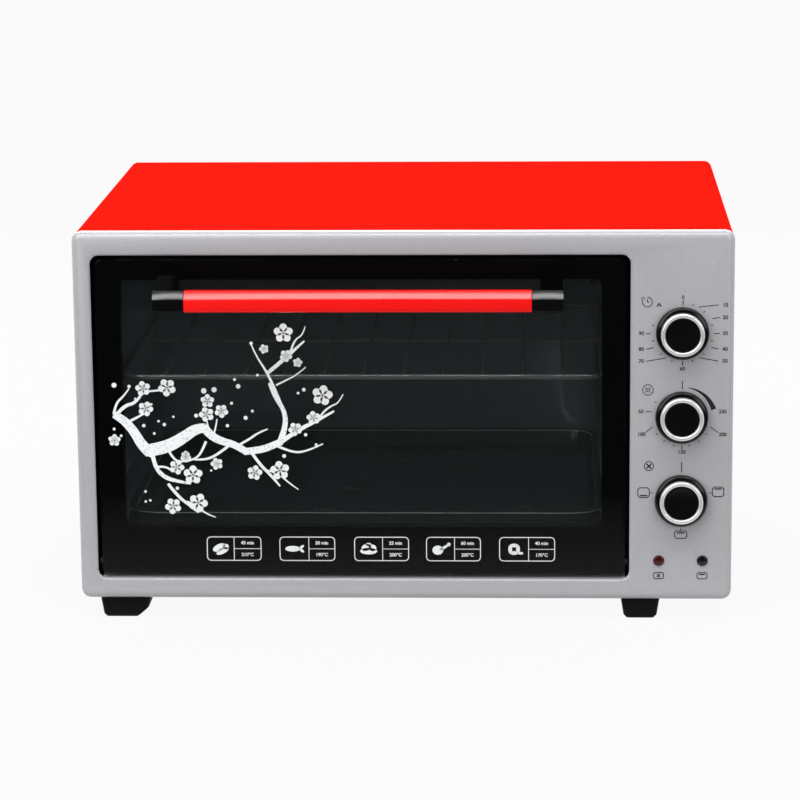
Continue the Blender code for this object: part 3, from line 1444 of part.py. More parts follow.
def make_mains():
    """The terminal block on the floor sheet and the grommet in the back panel."""
    right = CASING.right - TERMINAL_SIDE_SPACE
    back = BASE_BACK_Y - TERMINAL_BACK_SPACE
    low = BASE_HIGH + GAP
    terminal = block(
        "terminal_block",
        (right - TERMINAL_WIDTH, back - TERMINAL_DEPTH, low),
        (right, back, low + TERMINAL_HEIGHT),
    )
    pitch = TERMINAL_WIDTH / TERMINAL_WAYS
    wells = []
    for index in range(TERMINAL_WAYS):
        across = right - pitch * (index + 1 / 2)
        for row in (1, 3):
            along = back - TERMINAL_DEPTH * row / 4
            wells.append((
                (across, along, low + TERMINAL_HEIGHT / 2), (across, along, low + TERMINAL_HEIGHT + OVERRUN),
                TERMINAL_SCREW_RADIUS,
            ))
    cut(terminal, rods("terminal_block_wells", wells, WIRE_STEPS))
    keep(terminal, "white_plastic")

    sheet_low = -SHEET - GAP
    profile = [
        (GROMMET_BORE, GROMMET_REACH),
        (GROMMET_RADIUS - GROMMET_REACH / 2, GROMMET_REACH),
        (GROMMET_RADIUS, GROMMET_REACH / 2),
        (GROMMET_RADIUS, GAP),
        (GROMMET_NECK_RADIUS, GAP),
        (GROMMET_NECK_RADIUS, sheet_low),
        (GROMMET_RADIUS, sheet_low),
        (GROMMET_RADIUS, sheet_low - GROMMET_REACH),
        (GROMMET_BORE, sheet_low - GROMMET_REACH),
    ]
    place = (GROMMET_X, BACK_Y, GROMMET_Z)
    facing_back = (-math.pi / 2, 0, 0)
    grommet = turned("cord_grommet", profile, place, facing_back, ROUND_STEPS, closed=True)
    keep(grommet, "black_rubber")


clear_scene()
PARTS = new_collection("mini_oven")
TOOLS = new_collection("cutters")

make_front_frame()
make_outer_casing()
make_base_plate()
make_rear_cover()
make_feet()
make_cavity_mouth()
make_cavity()
make_heating_rods()
door_pivot = new_pivot("door_axis", (DOOR_X, HINGE_Y, HINGE_Z))
make_hinge(door_pivot)
make_door(door_pivot)
make_handle(door_pivot)
make_rack(new_pivot("rack_slide", (DOOR_X, SHELF_Y, runner_heights()[RACK_RUNNER])))
make_tray(new_pivot("tray_slide", (DOOR_X, SHELF_Y, runner_heights()[TRAY_RUNNER])))
UNITS = (
    ("timer", "timer_unit", "can", "steel"),
    ("temperature", "thermostat_unit", "disc", "steel"),
    ("function", "function_switch", "block", "phenolic"),
)
for (knob_name, unit_name, unit_body, unit_finish), knob_height in zip(UNITS, KNOB_HEIGHTS):
    make_knob(knob_name, knob_height, new_pivot(f"{knob_name}_axis", (KNOB_X, FACE_Y, knob_height)))
    make_unit(unit_name, knob_height, unit_body, unit_finish)
make_bulb()
make_lamps()
make_mains()
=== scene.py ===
"""A table-top mini oven, dressed for a studio picture.

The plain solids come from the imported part. This script puts finer surfaces, finishes and printing
over them, and adds the floor, the lights and the camera. Lengths are in metres.
"""

from __future__ import annotations

import json
import logging
import math
from dataclasses import dataclass, replace
from enum import Enum
from typing import Any, Sequence

import bmesh
import bpy
from mathutils import Matrix, Vector

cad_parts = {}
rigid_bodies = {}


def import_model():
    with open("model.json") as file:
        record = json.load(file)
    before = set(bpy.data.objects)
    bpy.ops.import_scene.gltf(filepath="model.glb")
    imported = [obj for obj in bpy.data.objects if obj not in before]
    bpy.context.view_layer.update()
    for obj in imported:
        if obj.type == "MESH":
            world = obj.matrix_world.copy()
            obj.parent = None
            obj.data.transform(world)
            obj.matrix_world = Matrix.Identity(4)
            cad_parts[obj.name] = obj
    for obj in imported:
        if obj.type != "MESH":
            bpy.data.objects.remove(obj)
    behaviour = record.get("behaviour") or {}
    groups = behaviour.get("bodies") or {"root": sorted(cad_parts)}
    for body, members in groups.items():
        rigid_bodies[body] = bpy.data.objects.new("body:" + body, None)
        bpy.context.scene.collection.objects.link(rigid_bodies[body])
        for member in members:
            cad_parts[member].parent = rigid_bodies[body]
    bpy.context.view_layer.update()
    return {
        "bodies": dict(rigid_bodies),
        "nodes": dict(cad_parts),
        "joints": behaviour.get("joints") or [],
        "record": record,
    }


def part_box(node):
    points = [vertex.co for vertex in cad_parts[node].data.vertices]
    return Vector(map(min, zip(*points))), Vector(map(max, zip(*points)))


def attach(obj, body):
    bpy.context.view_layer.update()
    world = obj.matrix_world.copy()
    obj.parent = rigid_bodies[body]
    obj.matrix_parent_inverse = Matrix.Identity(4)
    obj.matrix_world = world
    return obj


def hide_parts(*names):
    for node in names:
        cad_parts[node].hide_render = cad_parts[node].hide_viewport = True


LOG = logging.getLogger("mini_oven")
MM = 0.001
# A gap too small to see, and the distance below which two points are one
TOUCH = 0.05 * MM
WELD = TOUCH / 50

# Short names of types
Point = tuple[float, float]
Point3 = tuple[float, float, float]
Mesh = bmesh.types.BMesh
Tree = bpy.types.NodeTree
Socket = bpy.types.NodeSocket


def linear(channel: float) -> float:
    """Turns one sRGB channel to linear light."""
    return channel / 12.92 if channel <= 0.04045 else ((channel + 0.055) / 1.055) ** 2.4


def colour_of(code: str, opacity: float = 1.0) -> tuple[float, float, float, float]:
    """Turns a hex colour to linear red, green, blue and alpha.

    Args:
        code: Six hex digits, in sRGB.
        opacity: The alpha value.

    Returns:
        The four channels, each from 0 to 1.
    """
    red, green, blue = (linear(int(code[start : start + 2], 16) / 255) for start in (0, 2, 4))
    return red, green, blue, opacity


def add_node(
    tree: Tree, kind: str, settings: dict[str | int, Any] | None = None,
    links: dict[str | int, Socket] | None = None,
) -> bpy.types.Node:
    """Adds a node to a tree.

    Args:
        tree: The tree that gets the node.
        kind: The node's type name, without the words ShaderNode that they all start with.
        settings: Values by the name of a property, or by the name or number of an input.
        links: Outputs of other nodes, by the name or number of the input that each feeds.

    Returns:
        The new node.
    """
    node = tree.nodes.new("ShaderNode" + kind)
    for name, value in (settings or {}).items():
        if isinstance(name, str) and hasattr(node, name):
            setattr(node, name, value)
        else:
            node.inputs[name].default_value = value
    for name, output in (links or {}).items():
        tree.links.new(output, node.inputs[name])
    return node


class Grain(Enum):
    """How a surface was made, which sets its fine pattern."""

    MOULDED = "moulded"
    FLAKE = "metal flake in paint"
    SPRAYED = "sprayed and baked"
    BRUSHED = "brushed along one way"
    SPANGLE = "zinc crystals"
    SPECKLE = "specks in enamel"
    POLISHED = "polished"
    INK = "screen-printed"
    BARK = "screen-printed with a dotted tone"


@dataclass(frozen=True)
class Finish:
    """What a surface is made of and how it takes the light.

    Attributes:
        name: The material's common name.
        colour: Main colour, as sRGB hex.
        roughness: How dull the surface is, from 0 to 1.
        grain: How it was made.
        grain_size: Real size of the pattern, in metres.
        second: Colour of the pattern's other tone, as sRGB hex.
        second_share: How strongly the other tone shows.
        relief: Height of the fine bumps, in metres.
        metallic: 1 for bare metal.
        ior: Refractive index of what isn't metal.
        specular: Strength of the clear reflection, 0.5 being what the index gives.
        coat: Strength of a clear layer on top.
        opacity: 1 for what can't be seen through.
        slot: The record's slot that the finish belongs to.
    """

    name: str
    colour: str
    roughness: float
    grain: Grain = Grain.MOULDED
    grain_size: float = 0.001
    second: str = ""
    second_share: float = 0.0
    relief: float = 0.0
    metallic: float = 0.0
    ior: float = 1.5
    specular: float = 0.5
    coat: float = 0.0
    opacity: float = 1.0
    slot: str = ""

    def material(self) -> bpy.types.Material:
        """Returns the material, which is made at its first use."""
        made = bpy.data.materials.get(self.name)
        return made if made else self._make()

    def _make(self) -> bpy.types.Material:
        """Builds the material's nodes.

        Returns:
            The material.
        """
        material = bpy.data.materials.new(self.name)
        material.use_nodes = True
        tree = material.node_tree
        shader = tree.nodes["Principled BSDF"]
        shader.inputs["Metallic"].default_value = self.metallic
        shader.inputs["IOR"].default_value = self.ior
        shader.inputs["Specular IOR Level"].default_value = self.specular
        shader.inputs["Coat Weight"].default_value = self.coat
        shader.inputs["Coat Roughness"].default_value = COAT_ROUGHNESS
        shader.inputs["Alpha"].default_value = self.opacity
        place = add_node(tree, "TexCoord").outputs["Object"]
        pattern = self._pattern(tree, place)
        wear = add_node(
            tree, "TexNoise", {"Scale": 1 / WEAR_SIZE, "Detail": WEAR_DETAIL}, {"Vector": place}
        ).outputs["Fac"]
        least, most = 1 - ROUGHNESS_SPREAD, 1 + ROUGHNESS_SPREAD
        low, high = max(self.roughness * least, LEAST_ROUGHNESS), min(self.roughness * most, 1.0)
        ends = {"To Min": low, "To Max": high}
        dull = add_node(tree, "MapRange", ends, {"Value": wear})
        tree.links.new(dull.outputs["Result"], shader.inputs["Roughness"])
        ends = {"From Min": TONE_START, "From Max": TONE_END, "To Max": self.second_share}
        tone = add_node(tree, "MapRange", ends, {"Value": pattern})
        mix = add_node(tree, "Mix", {"data_type": "RGBA"}, {0: tone.outputs["Result"]})
        mix.inputs[6].default_value = colour_of(self.colour)
        mix.inputs[7].default_value = colour_of(self.second or self.colour)
        tree.links.new(mix.outputs[2], shader.inputs["Base Color"])
        if self.relief:
            bump = add_node(tree, "Bump", {"Distance": self.relief}, {"Height": pattern})
            tree.links.new(bump.outputs["Normal"], shader.inputs["Normal"])
        return material

    def _pattern(self, tree: Tree, place: Socket) -> Socket:
        """Adds the fine pattern of the surface.

        Args:
            tree: The material's tree.
            place: Object coordinates.

        Returns:
            The output with the pattern, from 0 to 1.
        """
        scale = 1 / self.grain_size
        if self.grain is Grain.BRUSHED:
            stretch = {"Scale": (1 / BRUSH_STRETCH, 1.0, 1.0)}
            drawn = add_node(tree, "Mapping", stretch, {"Vector": place})
            place = drawn.outputs["Vector"]
        if self.grain not in (Grain.SPANGLE, Grain.FLAKE, Grain.SPECKLE, Grain.BARK):
            detail = {"Scale": scale, "Detail": GRAIN_DETAIL}
            return add_node(tree, "TexNoise", detail, {"Vector": place}).outputs["Fac"]
        cells = add_node(tree, "TexVoronoi", {"feature": "F1", "Scale": scale}, {"Vector": place})
        if self.grain in (Grain.SPANGLE, Grain.FLAKE):
            return add_node(tree, "SeparateColor", {}, {"Color": cells.outputs["Color"]}).outputs[0]
        ends = {"From Min": SPECK_CORE, "From Max": SPECK_RIM, "To Min": 1.0, "To Max": 0.0}
        return add_node(
            tree, "MapRange", ends, {"Value": cells.outputs["Distance"]}
        ).outputs["Result"]


# Coat and wear that all finishes share
COAT_ROUGHNESS = 0.06
WEAR_SIZE = 60 * MM
WEAR_DETAIL = 3.0
ROUGHNESS_SPREAD = 0.18
LEAST_ROUGHNESS = 0.01
# Values of a pattern between which the second tone comes in, and how fine the pattern is
TONE_START = 0.35
TONE_END = 0.65
GRAIN_DETAIL = 4.0
# A speck's full middle and its end, as shares of the pattern's size
SPECK_CORE = 0.12
SPECK_RIM = 0.3
# How many times longer than wide the brushed lines are
BRUSH_STRETCH = 40.0

# Metallic paint on a moulded ABS face: fine flakes give a satin, slightly grainy grey.
SILVER_PAINT = Finish(
    "silver paint on ABS", "A8A7AB", 0.38, Grain.FLAKE, 0.4 * MM, "B8B7BB", 0.6,
    relief=0.004 * MM, metallic=0.15, coat=0.2, slot="silver_paint",
)
# Painted highlight: the lip round the door opening is coloured as a pale metallic line for the
# light it catches.
LIP_HIGHLIGHT_PAINT = Finish(
    "silver paint with painted lip highlight", "E8E8EC", 0.3, Grain.FLAKE, 0.4 * MM, "F2F2F4", 0.5, metallic=0.2,
    coat=0.3,
)
# Red powder coat on sheet steel: even, saturated colour with a faint orange peel.
RED_ENAMEL = Finish(
    "red powder coat", "F4180E", 0.45, Grain.SPRAYED, 2.2 * MM, "E8120A", 0.5,
    relief=0.010 * MM, specular=0.0, slot="red_enamel",
)
# Tempered soda-lime glass with a grey tint: clear enough to show the shelves, dark at a glance.
TINTED_GLASS = Finish(
    "grey float glass", "020304", 0.03, Grain.POLISHED, 30 * MM, "030405", 0.5,
    specular=0.4, opacity=0.3, slot="black_glass",
)
CLEAR_GLASS = Finish(
    "clear float glass", "8FA09E", 0.03, Grain.POLISHED, 30 * MM, "96A6A4", 0.5,
    specular=0.3, opacity=0.05, slot="clear_glass",
)
# Black ceramic ink baked on the back of the pane: deep, even black.
BLACK_INK = Finish(
    "black ceramic ink", "030304", 0.3, Grain.INK, 0.6 * MM, "050506", 0.4, specular=0.1,
)
# White ceramic ink, opaque, with the slight unevenness of a screen print.
WHITE_INK = Finish("white ceramic ink", "E9EBEC", 0.5, Grain.INK, 0.8 * MM, "D2D5D7", 0.6)
# The same ink laid down as a dotted tone, which reads as light grey bark.
BARK_INK = Finish("dotted white ink", "E6E9EA", 0.5, Grain.BARK, 2.2 * MM, "4A5054", 0.85)
# Pad-printed marks on the face: dark grey, matt.
DARK_INK = Finish("grey pad print", "1C1C20", 0.6, Grain.INK, 0.5 * MM, "2A2A30", 0.5, specular=0.2)
# Hot-dip zinc on sheet steel: dull, with large crystals in slightly different greys.
GALVANISED = Finish(
    "galvanised steel sheet", "9A9DA0", 0.38, Grain.SPANGLE, 7 * MM, "8A8D90", 0.5,
    metallic=0.9, slot="galvanised_sheet",
)
# Grey vitreous enamel inside the oven: smooth, with small pale specks.
CAVITY_ENAMEL = Finish(
    "grey vitreous enamel", "78868D", 0.32, Grain.SPECKLE, 3.5 * MM, "9AA4AA", 0.35,
    coat=0.3, slot="cavity_enamel",
)
STEEL = Finish(
    "bare rolled steel", "A8AAAC", 0.3, Grain.BRUSHED, 0.5 * MM, "8F9193", 0.5,
    relief=0.003 * MM, metallic=1.0, slot="steel",
)
# Steel blackened in oil: near-black with a faint metal sheen; on the hinge parts the darkness is
# also painted shade in the gap round the door.
BLACKENED_STEEL_AND_GAP_SHADE = Finish(
    "blackened steel and gap shade", "1A1A1C", 0.5, Grain.MOULDED, 1 * MM, "242426", 0.5, metallic=0.6,
    slot="steel",
)
# Steel sheath of a heating rod, browned by heat.
HEATED_SHEATH = Finish(
    "heat-browned steel sheath", "6E665E", 0.45, Grain.SPRAYED, 6 * MM, "4C463F", 0.8,
    metallic=0.8, slot="steel",
)
# Chrome ring with a white diffuse share: real chrome plate, partly a painted reflection that keeps
# the ring bright all round
CHROME = Finish(
    "bright chrome plate", "F0F1F3", 0.22, Grain.POLISHED, 20 * MM, "E6E7E9", 0.5,
    metallic=0.6, slot="chrome",
)
# Piano-black ABS: deep black under a clear gloss.
GLOSS_BLACK = Finish(
    "gloss black ABS", "030304", 0.16, Grain.MOULDED, 5 * MM, "050506", 0.5,
    relief=0.002 * MM, specular=0.4, slot="gloss_black",
)
# Painted shade: the walls round the door opening are coloured near-black so that the gap reads as
# shadow.
GAP_SHADE_PAINT = Finish(
    "black painted shade in door gap", "0A0A0B", 0.6, Grain.MOULDED, 0.8 * MM, "101012", 0.5, specular=0.1,
)
# Lacquered aluminium extrusion: strong red with fine draw lines under the lacquer.
RED_LACQUER = Finish(
    "red lacquered aluminium", "F00A06", 0.2, Grain.BRUSHED, 0.6 * MM, "E00805", 0.5,
    specular=0.45, slot="red_lacquer",
)
# Chromed wire dulled by the oven's heat: a soft grey gleam.
DULL_CHROME = Finish(
    "heat-dulled chrome plate", "B4B6B9", 0.3, Grain.BRUSHED, 0.5 * MM, "95979A", 0.5,
    metallic=0.7, slot="chrome",
)
# Painted highlight: a pale band on the tray's rim stands in for the light its edge catches.
RIM_HIGHLIGHT_PAINT = Finish(
    "painted highlight on tray rim", "E2E5E6", 0.4, Grain.SPRAYED, 4 * MM, "B4B8BA", 0.6, metallic=0.3,
)
RUBBER = Finish(
    "black rubber", "050506", 0.7, Grain.MOULDED, 0.8 * MM, "0A0A0B", 0.6,
    relief=0.03 * MM, specular=0.12, slot="black_rubber",
)
SILICONE = Finish(
    "grey silicone", "4E5254", 0.6, Grain.MOULDED, 1.2 * MM, "5A5E60", 0.5,
    relief=0.02 * MM, slot="grey_silicone",
)
# Black vitreous enamel on pressed steel, with fine white specks.
TRAY_ENAMEL = Finish(
    "black vitreous enamel", "101214", 0.26, Grain.SPECKLE, 2.6 * MM, "5C6063", 0.3,
    coat=0.4, slot="black_enamel",
)
FRAME_ENAMEL = Finish(
    "black powder coat", "0B0B0D", 0.45, Grain.SPRAYED, 1.5 * MM, "131316", 0.6,
    relief=0.012 * MM, specular=0.15, slot="black_enamel",
)
PHENOLIC = Finish(
    "brown phenolic resin", "1D1916", 0.5, Grain.MOULDED, 0.7 * MM, "2A241F", 0.6,
    relief=0.02 * MM, slot="phenolic",
)
WHITE_MOULDING = Finish(
    "off-white polyamide", "E0DDD3", 0.45, Grain.MOULDED, 1 * MM, "D4D0C5", 0.5,
    relief=0.01 * MM, slot="white_plastic",
)
COPPER = Finish(
    "drawn copper tube", "B9744F", 0.34, Grain.BRUSHED, 0.5 * MM, "9A5C3C", 0.6,
    metallic=1.0, slot="copper",
)
# Transparent polycarbonate over an unlit neon: dark wine red with a bright clear surface.
RED_LENS = Finish(
    "dark red polycarbonate", "44050A", 0.1, Grain.POLISHED, 3 * MM, "2E0408", 0.6,
    specular=0.4, slot="red_lens",
)
DARK_LENS = Finish(
    "near-black red polycarbonate", "12040A", 0.1, Grain.POLISHED, 3 * MM, "0A0306", 0.6,
    specular=0.4, slot="red_lens",
)
ZINC_SCREW = Finish(
    "zinc-plated steel", "B9BCC0", 0.3, Grain.BRUSHED, 0.3 * MM, "999CA0", 0.5, metallic=1.0,
)


@dataclass(frozen=True)
class Rect:
    """A rectangle in x and z by its edges."""

    left: float
    low: float
    right: float
    high: float

    @classmethod
    def of_node(cls, node: str) -> Rect:
        """Returns the rectangle that a CAD node fills, seen from the front."""
        low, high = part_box(node)
        return cls(low[0], low[2], high[0], high[2])

    @property
    def middle(self) -> Point:
        """The centre."""
        return (self.left + self.right) / 2, (self.low + self.high) / 2

    def holds(self, across: float, up: float) -> bool:
        """Says whether a point lies inside."""
        return self.left < across < self.right and self.low < up < self.high

    def grown(self, by: float) -> Rect:
        """Returns the rectangle with its edges moved outwards."""
        return Rect(self.left - by, self.low - by, self.right + by, self.high + by)

    def corners(self) -> list[Point]:
        """Returns the four corners in order.

        Returns:
            The corners, from the lower left one to the upper left one.
        """
        return [
            (self.left, self.low), (self.right, self.low), (self.right, self.high),
            (self.left, self.high),
        ]

    def rounded(self, corner: float, steps: int) -> list[Point]:
        """Returns the outline with round corners.

        Args:
            corner: Radius of the corners.
            steps: Steps of each corner.

        Returns:
            The outline's points in order.
        """
        points = []
        for number, (across, up) in enumerate(self.grown(-corner).corners()):
            for step in range(steps + 1):
                turn = math.radians(180 + 90 * (number + step / steps))
                points.append((across + corner * math.cos(turn), up + corner * math.sin(turn)))
        return points


class Piece:
    """A mesh in the making, which ends as one finished object at the origin."""

    def __init__(self, name: str) -> None:
        """Starts an empty piece.

        Args:
            name: The object's name.
        """
        self.name = name
        self.mesh = bmesh.new()
        self.finishes: list[Finish] = []

    def take(self, part: Mesh, finish: Finish, sharp: float = 35.0) -> None:
        """Adds a closed part to the piece.

        Args:
            part: The part's own mesh, which is freed.
            finish: What it is made of.
            sharp: Edges that turn by more than this many degrees stay crisp.
        """
        if finish not in self.finishes:
            self.finishes.append(finish)
        index = self.finishes.index(finish)
        bmesh.ops.recalc_face_normals(part, faces=part.faces)
        for face in part.faces:
            face.material_index = index
            face.smooth = True
        for edge in part.edges:
            edge.smooth = edge.calc_face_angle(0.0) < math.radians(sharp)
        join(self.mesh, part)

    def slab(
        self, rect: Rect, low: float, high: float, finish: Finish, corner: float, edge: float
    ) -> None:
        """Adds an upright pane with rounded corners and softened rims.

        Args:
            rect: Its edges.
            low: Depth of one face.
            high: Depth of the other face.
            finish: What it is made of.
            corner: Radius of its corners.
            edge: Radius of its rims.
        """
        part = flat_part(rect, low, corner)
        thicken(part, high - low)
        part.normal_update()
        flat = {face for face in part.faces if abs(face.normal.y) > FLAT_SHARE}
        rims = [item for item in part.edges if len(flat.intersection(item.link_faces)) == 1]
        soften(part, rims, edge, RIM_STEPS)
        self.take(part, finish)

    def turned(
        self, profile: Sequence[Point], centre: Sequence[float], axis: Sequence[float],
        finish: Finish, closed: bool = False, steps: int = 72, sharp: float = 35.0,
    ) -> None:
        """Adds a shape turned about an axis.

        Args:
            profile: Radius and height of each point.
            centre: Where the height is zero.
            axis: The way that height grows.
            finish: What it is made of.
            closed: Whether the profile is a ring that ends where it starts.
            steps: Steps of a full turn.
            sharp: Edges that turn by more than this many degrees stay crisp.
        """
        part = bmesh.new()
        along = Vector(axis).normalized()
        start = Vector(centre)
        across = along.orthogonal().normalized()
        points = [part.verts.new(start + across * out + along * up) for out, up in profile]
        for first, second in zip(points, points[1:]):
            part.edges.new((first, second))
        if closed:
            part.edges.new((points[-1], points[0]))
        bmesh.ops.spin(
            part, geom=list(part.verts) + list(part.edges), cent=start, axis=along, dvec=(0, 0, 0),
            angle=math.tau, steps=steps, use_merge=True, use_duplicate=False,
        )
        bmesh.ops.remove_doubles(part, verts=part.verts, dist=WELD)
        self.take(part, finish, sharp)

    def rod(
        self, start: Sequence[float], end: Sequence[float], radius: float, finish: Finish,
        steps: int = 24,
    ) -> None:
        """Adds a straight round rod.

        Args:
            start: The middle of one end.
            end: The middle of the other end.
            radius: Its radius.
            finish: What it is made of.
            steps: Steps of its round.
        """
        part = bmesh.new()
        first, last = Vector(start), Vector(end)
        way = last - first
        turn = way.to_track_quat("Z", "Y").to_matrix().to_4x4()
        bmesh.ops.create_cone(
            part, cap_ends=True, cap_tris=False, segments=steps, radius1=radius, radius2=radius,
            depth=way.length, matrix=Matrix.Translation((first + last) / 2) @ turn,
        )
        self.take(part, finish)

    def wire(
        self, path: Sequence[Sequence[float]], radius: float, finish: Finish, closed: bool = False,
        taper: Sequence[float] | None = None, smooth: bool = False, flat: float = 0.0,
        steps: int = 4,
    ) -> None:
        """Adds a wire that follows a path.

        Args:
            path: The points of its middle line.
            radius: Its radius.
            finish: What it is made of.
            closed: Whether it returns to its start.
            taper: A share of the radius for each point.
            smooth: Whether it bends softly between the points.
            flat: Height from front to back of a painted stroke; zero for a round wire.
            steps: Fineness of the round section.
        """
        curve = bpy.data.curves.new("wire", "CURVE")
        curve.dimensions = "3D"
        curve.bevel_depth = radius
        curve.bevel_resolution = steps
        curve.use_fill_caps = True
        curve.resolution_u = CURVE_STEPS
        spline = curve.splines.new("NURBS" if smooth else "POLY")
        spline.points.add(len(path) - 1)
        for number, point in enumerate(path):
            spline.points[number].co = (*point, 1.0)
            spline.points[number].radius = taper[number] if taper else 1.0
        spline.use_cyclic_u = closed
        if smooth:
            spline.order_u = 3
            spline.use_endpoint_u = not closed
        part = mesh_of_curve(curve)
        if flat:
            depth = path[0][1]
            bmesh.ops.scale(
                part, vec=(1.0, flat / (2 * radius), 1.0), verts=part.verts,
                space=Matrix.Translation((0.0, -depth, 0.0)),
            )
        self.take(part, finish, sharp=WIRE_TURN)

    def text(self, words: str, middle: Point, front: float, height: float, finish: Finish) -> None:
        """Adds plain numbers on a surface that faces the viewer.

        Args:
            words: What is written.
            middle: The centre, as x and z.
            front: Depth of the surface.
            height: Height of the letters.
            finish: The ink.
        """
        curve = bpy.data.curves.new("numbers", "FONT")
        curve.body = words
        curve.size = height / CAP_SHARE
        curve.align_x = "CENTER"
        curve.align_y = "CENTER"
        curve.extrude = INK_HEIGHT / 2
        curve.offset = height * BOLD_SHARE
        part = mesh_of_curve(curve)
        place = Matrix.Translation((middle[0], front - INK_HEIGHT / 2, middle[1]))
        bmesh.ops.transform(
            part, verts=part.verts, matrix=place @ Matrix.Rotation(math.pi / 2, 4, "X")
        )
        bmesh.ops.remove_doubles(part, verts=part.verts, dist=WELD)
        self.take(part, finish)

    def copy(
        self, node: str, finish: Finish, edge: float = 0.0, steps: int = 2, turn: float = 40.0,
        sharp: float = 35.0,
    ) -> None:
        """Adds a CAD node's own shape with softened edges.

        Args:
            node: The node's name.
            finish: What it is made of.
            edge: Radius of the softened edges, or zero.
            steps: Steps of each softened edge.
            turn: Edges that turn by more than this many degrees are softened.
            sharp: Edges that turn by more than this many degrees stay crisp.
        """
        part = bmesh.new()
        part.from_mesh(FRAME["nodes"][node].data)
        bmesh.ops.remove_doubles(part, verts=part.verts, dist=WELD)
        level = math.radians(LEVEL_TURN)
        bmesh.ops.dissolve_limit(part, angle_limit=level, verts=part.verts, edges=part.edges)
        if edge:
            rims = [item for item in part.edges if item.calc_face_angle(0.0) > math.radians(turn)]
            soften(part, rims, edge, steps)
        self.take(part, finish, sharp)

    def done(self, body: str, *nodes: str, slot: str = "") -> bpy.types.Object:
        """Makes the object and hands it to the frame.

        Args:
            body: The CAD body that it moves with.
            nodes: The CAD nodes that it stands for.
            slot: The record's slot, if it isn't the first finish's own; not used.

        Returns:
            The finished object.
        """
        data = bpy.data.meshes.new(self.name)
        self.mesh.to_mesh(data)
        self.mesh.free()
        for finish in self.finishes:
            data.materials.append(finish.material())
        piece = put(self.name, data)
        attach(piece, body)
        if nodes:
            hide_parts(*nodes)
        LOG.info("%s: %d faces, rides on %s", self.name, len(data.polygons), body)
        return piece


# Numbers that all prints share: how high the ink stands, a capital's share of the font's size,
# how much bolder the numbers are than the font, and the fineness of an oval
INK_HEIGHT = 0.1 * MM
CAP_SHARE = 0.7
BOLD_SHARE = 0.035
OVAL_STEPS = 14
# Fineness of wires, and the turn in degrees above which their edges stay crisp
CURVE_STEPS = 6
WIRE_TURN = 60.0
# Fineness of softened corners and rims
CORNER_STEPS = 8
RIM_STEPS = 3
# Share of facing the viewer above which a face is a pane's flat side
FLAT_SHARE = 0.99
# Turn in degrees below which two faces of a CAD solid are one
LEVEL_TURN = 0.5
# The carried-over CAD nodes, filled in by main
FRAME: dict[str, Any] = {}


def put(name: str, data: bpy.types.ID) -> bpy.types.Object:
    """Makes an object of its data and puts it in the scene.

    Args:
        name: The object's name.
        data: Its mesh, curve, lamp or camera.

    Returns:
        The object.
    """
    made = bpy.data.objects.new(name, data)
    bpy.context.scene.collection.objects.link(made)
    return made


def join(whole: Mesh, part: Mesh) -> None:
    """Moves a part into another mesh and frees it.

    Args:
        whole: The mesh that takes it.
        part: The part.
    """
    holder = bpy.data.meshes.new("part")
    part.to_mesh(holder)
    part.free()
    whole.from_mesh(holder)
    bpy.data.meshes.remove(holder)


def soften(
    part: Mesh, spots: Sequence[Any], radius: float, steps: int, kind: str = "EDGES"
) -> None:
    """Rounds edges or corners of a part.

    Args:
        part: The part.
        spots: The edges or the corners.
        radius: The radius.
        steps: Steps of each round.
        kind: EDGES or VERTICES.
    """
    bmesh.ops.bevel(
        part, geom=spots, offset=radius, offset_type="OFFSET", segments=steps, profile=0.5,
        affect=kind, material=-1, clamp_overlap=True,
    )


def flat_part(rect: Rect, depth: float, corner: float) -> Mesh:
    """Makes an upright flat face with round corners.

    Args:
        rect: Its edges.
        depth: Its place in y.
        corner: Radius of its corners.

    Returns:
        The face's mesh.
    """
    part = bmesh.new()
    spots = [part.verts.new((across, depth, up)) for across, up in rect.corners()]
    bmesh.ops.contextual_create(part, geom=spots)
    soften(part, list(part.verts), corner, CORNER_STEPS, "VERTICES")
    return part


def thicken(part: Mesh, depth: float) -> None:
    """Pulls an upright flat part out to a solid.

    Args:
        part: The part.
        depth: How far it is pulled, in y.
    """
    grown = bmesh.ops.extrude_face_region(part, geom=list(part.faces))
    moved = [item for item in grown["geom"] if isinstance(item, bmesh.types.BMVert)]
    bmesh.ops.translate(part, verts=moved, vec=(0.0, depth, 0.0))


def mesh_of_curve(curve: bpy.types.Curve) -> Mesh:
    """Turns a curve or text into a mesh and removes the curve.

    Args:
        curve: The curve's data.

    Returns:
        The mesh.
    """
    holder = put("curve", curve)
    bpy.context.view_layer.update()
    made = bpy.data.meshes.new_from_object(
        holder.evaluated_get(bpy.context.evaluated_depsgraph_get())
    )
    part = bmesh.new()
    part.from_mesh(made)
    bpy.data.objects.remove(holder)
    bpy.data.curves.remove(curve)
    bpy.data.meshes.remove(made)
    return part


def cut(part: Mesh, place: Point3, way: Point3, drop: bool = False) -> None:
    """Cuts a part by a plane.

    Args:
        part: The part.
        place: A point of the plane.
        way: The way that the plane faces.
        drop: Whether what lies beyond the plane goes.
    """
    bmesh.ops.bisect_plane(
        part, geom=[*part.verts, *part.edges, *part.faces], dist=WELD, plane_co=place,
        plane_no=way, clear_outer=drop,
    )


def refine(
    name: str, node: str, body: str, finish: Finish, edge: float = 0.0, steps: int = 2,
    turn: float = 40.0, sharp: float = 35.0,
) -> None:
    """Makes a piece of a CAD node's own shape, in one finish.

    Args:
        name: The piece's name.
        node: The node that it copies and stands for.
        body: The CAD body that it moves with.
        finish: What it is made of.
        edge: Radius of the softened edges, or zero.
        steps: Steps of each softened edge.
        turn: Edges that turn by more than this many degrees are softened.
        sharp: Edges that turn by more than this many degrees stay crisp.
    """
    piece = Piece(name)
    piece.copy(node, finish, edge, steps, turn, sharp)
    piece.done(body, node)


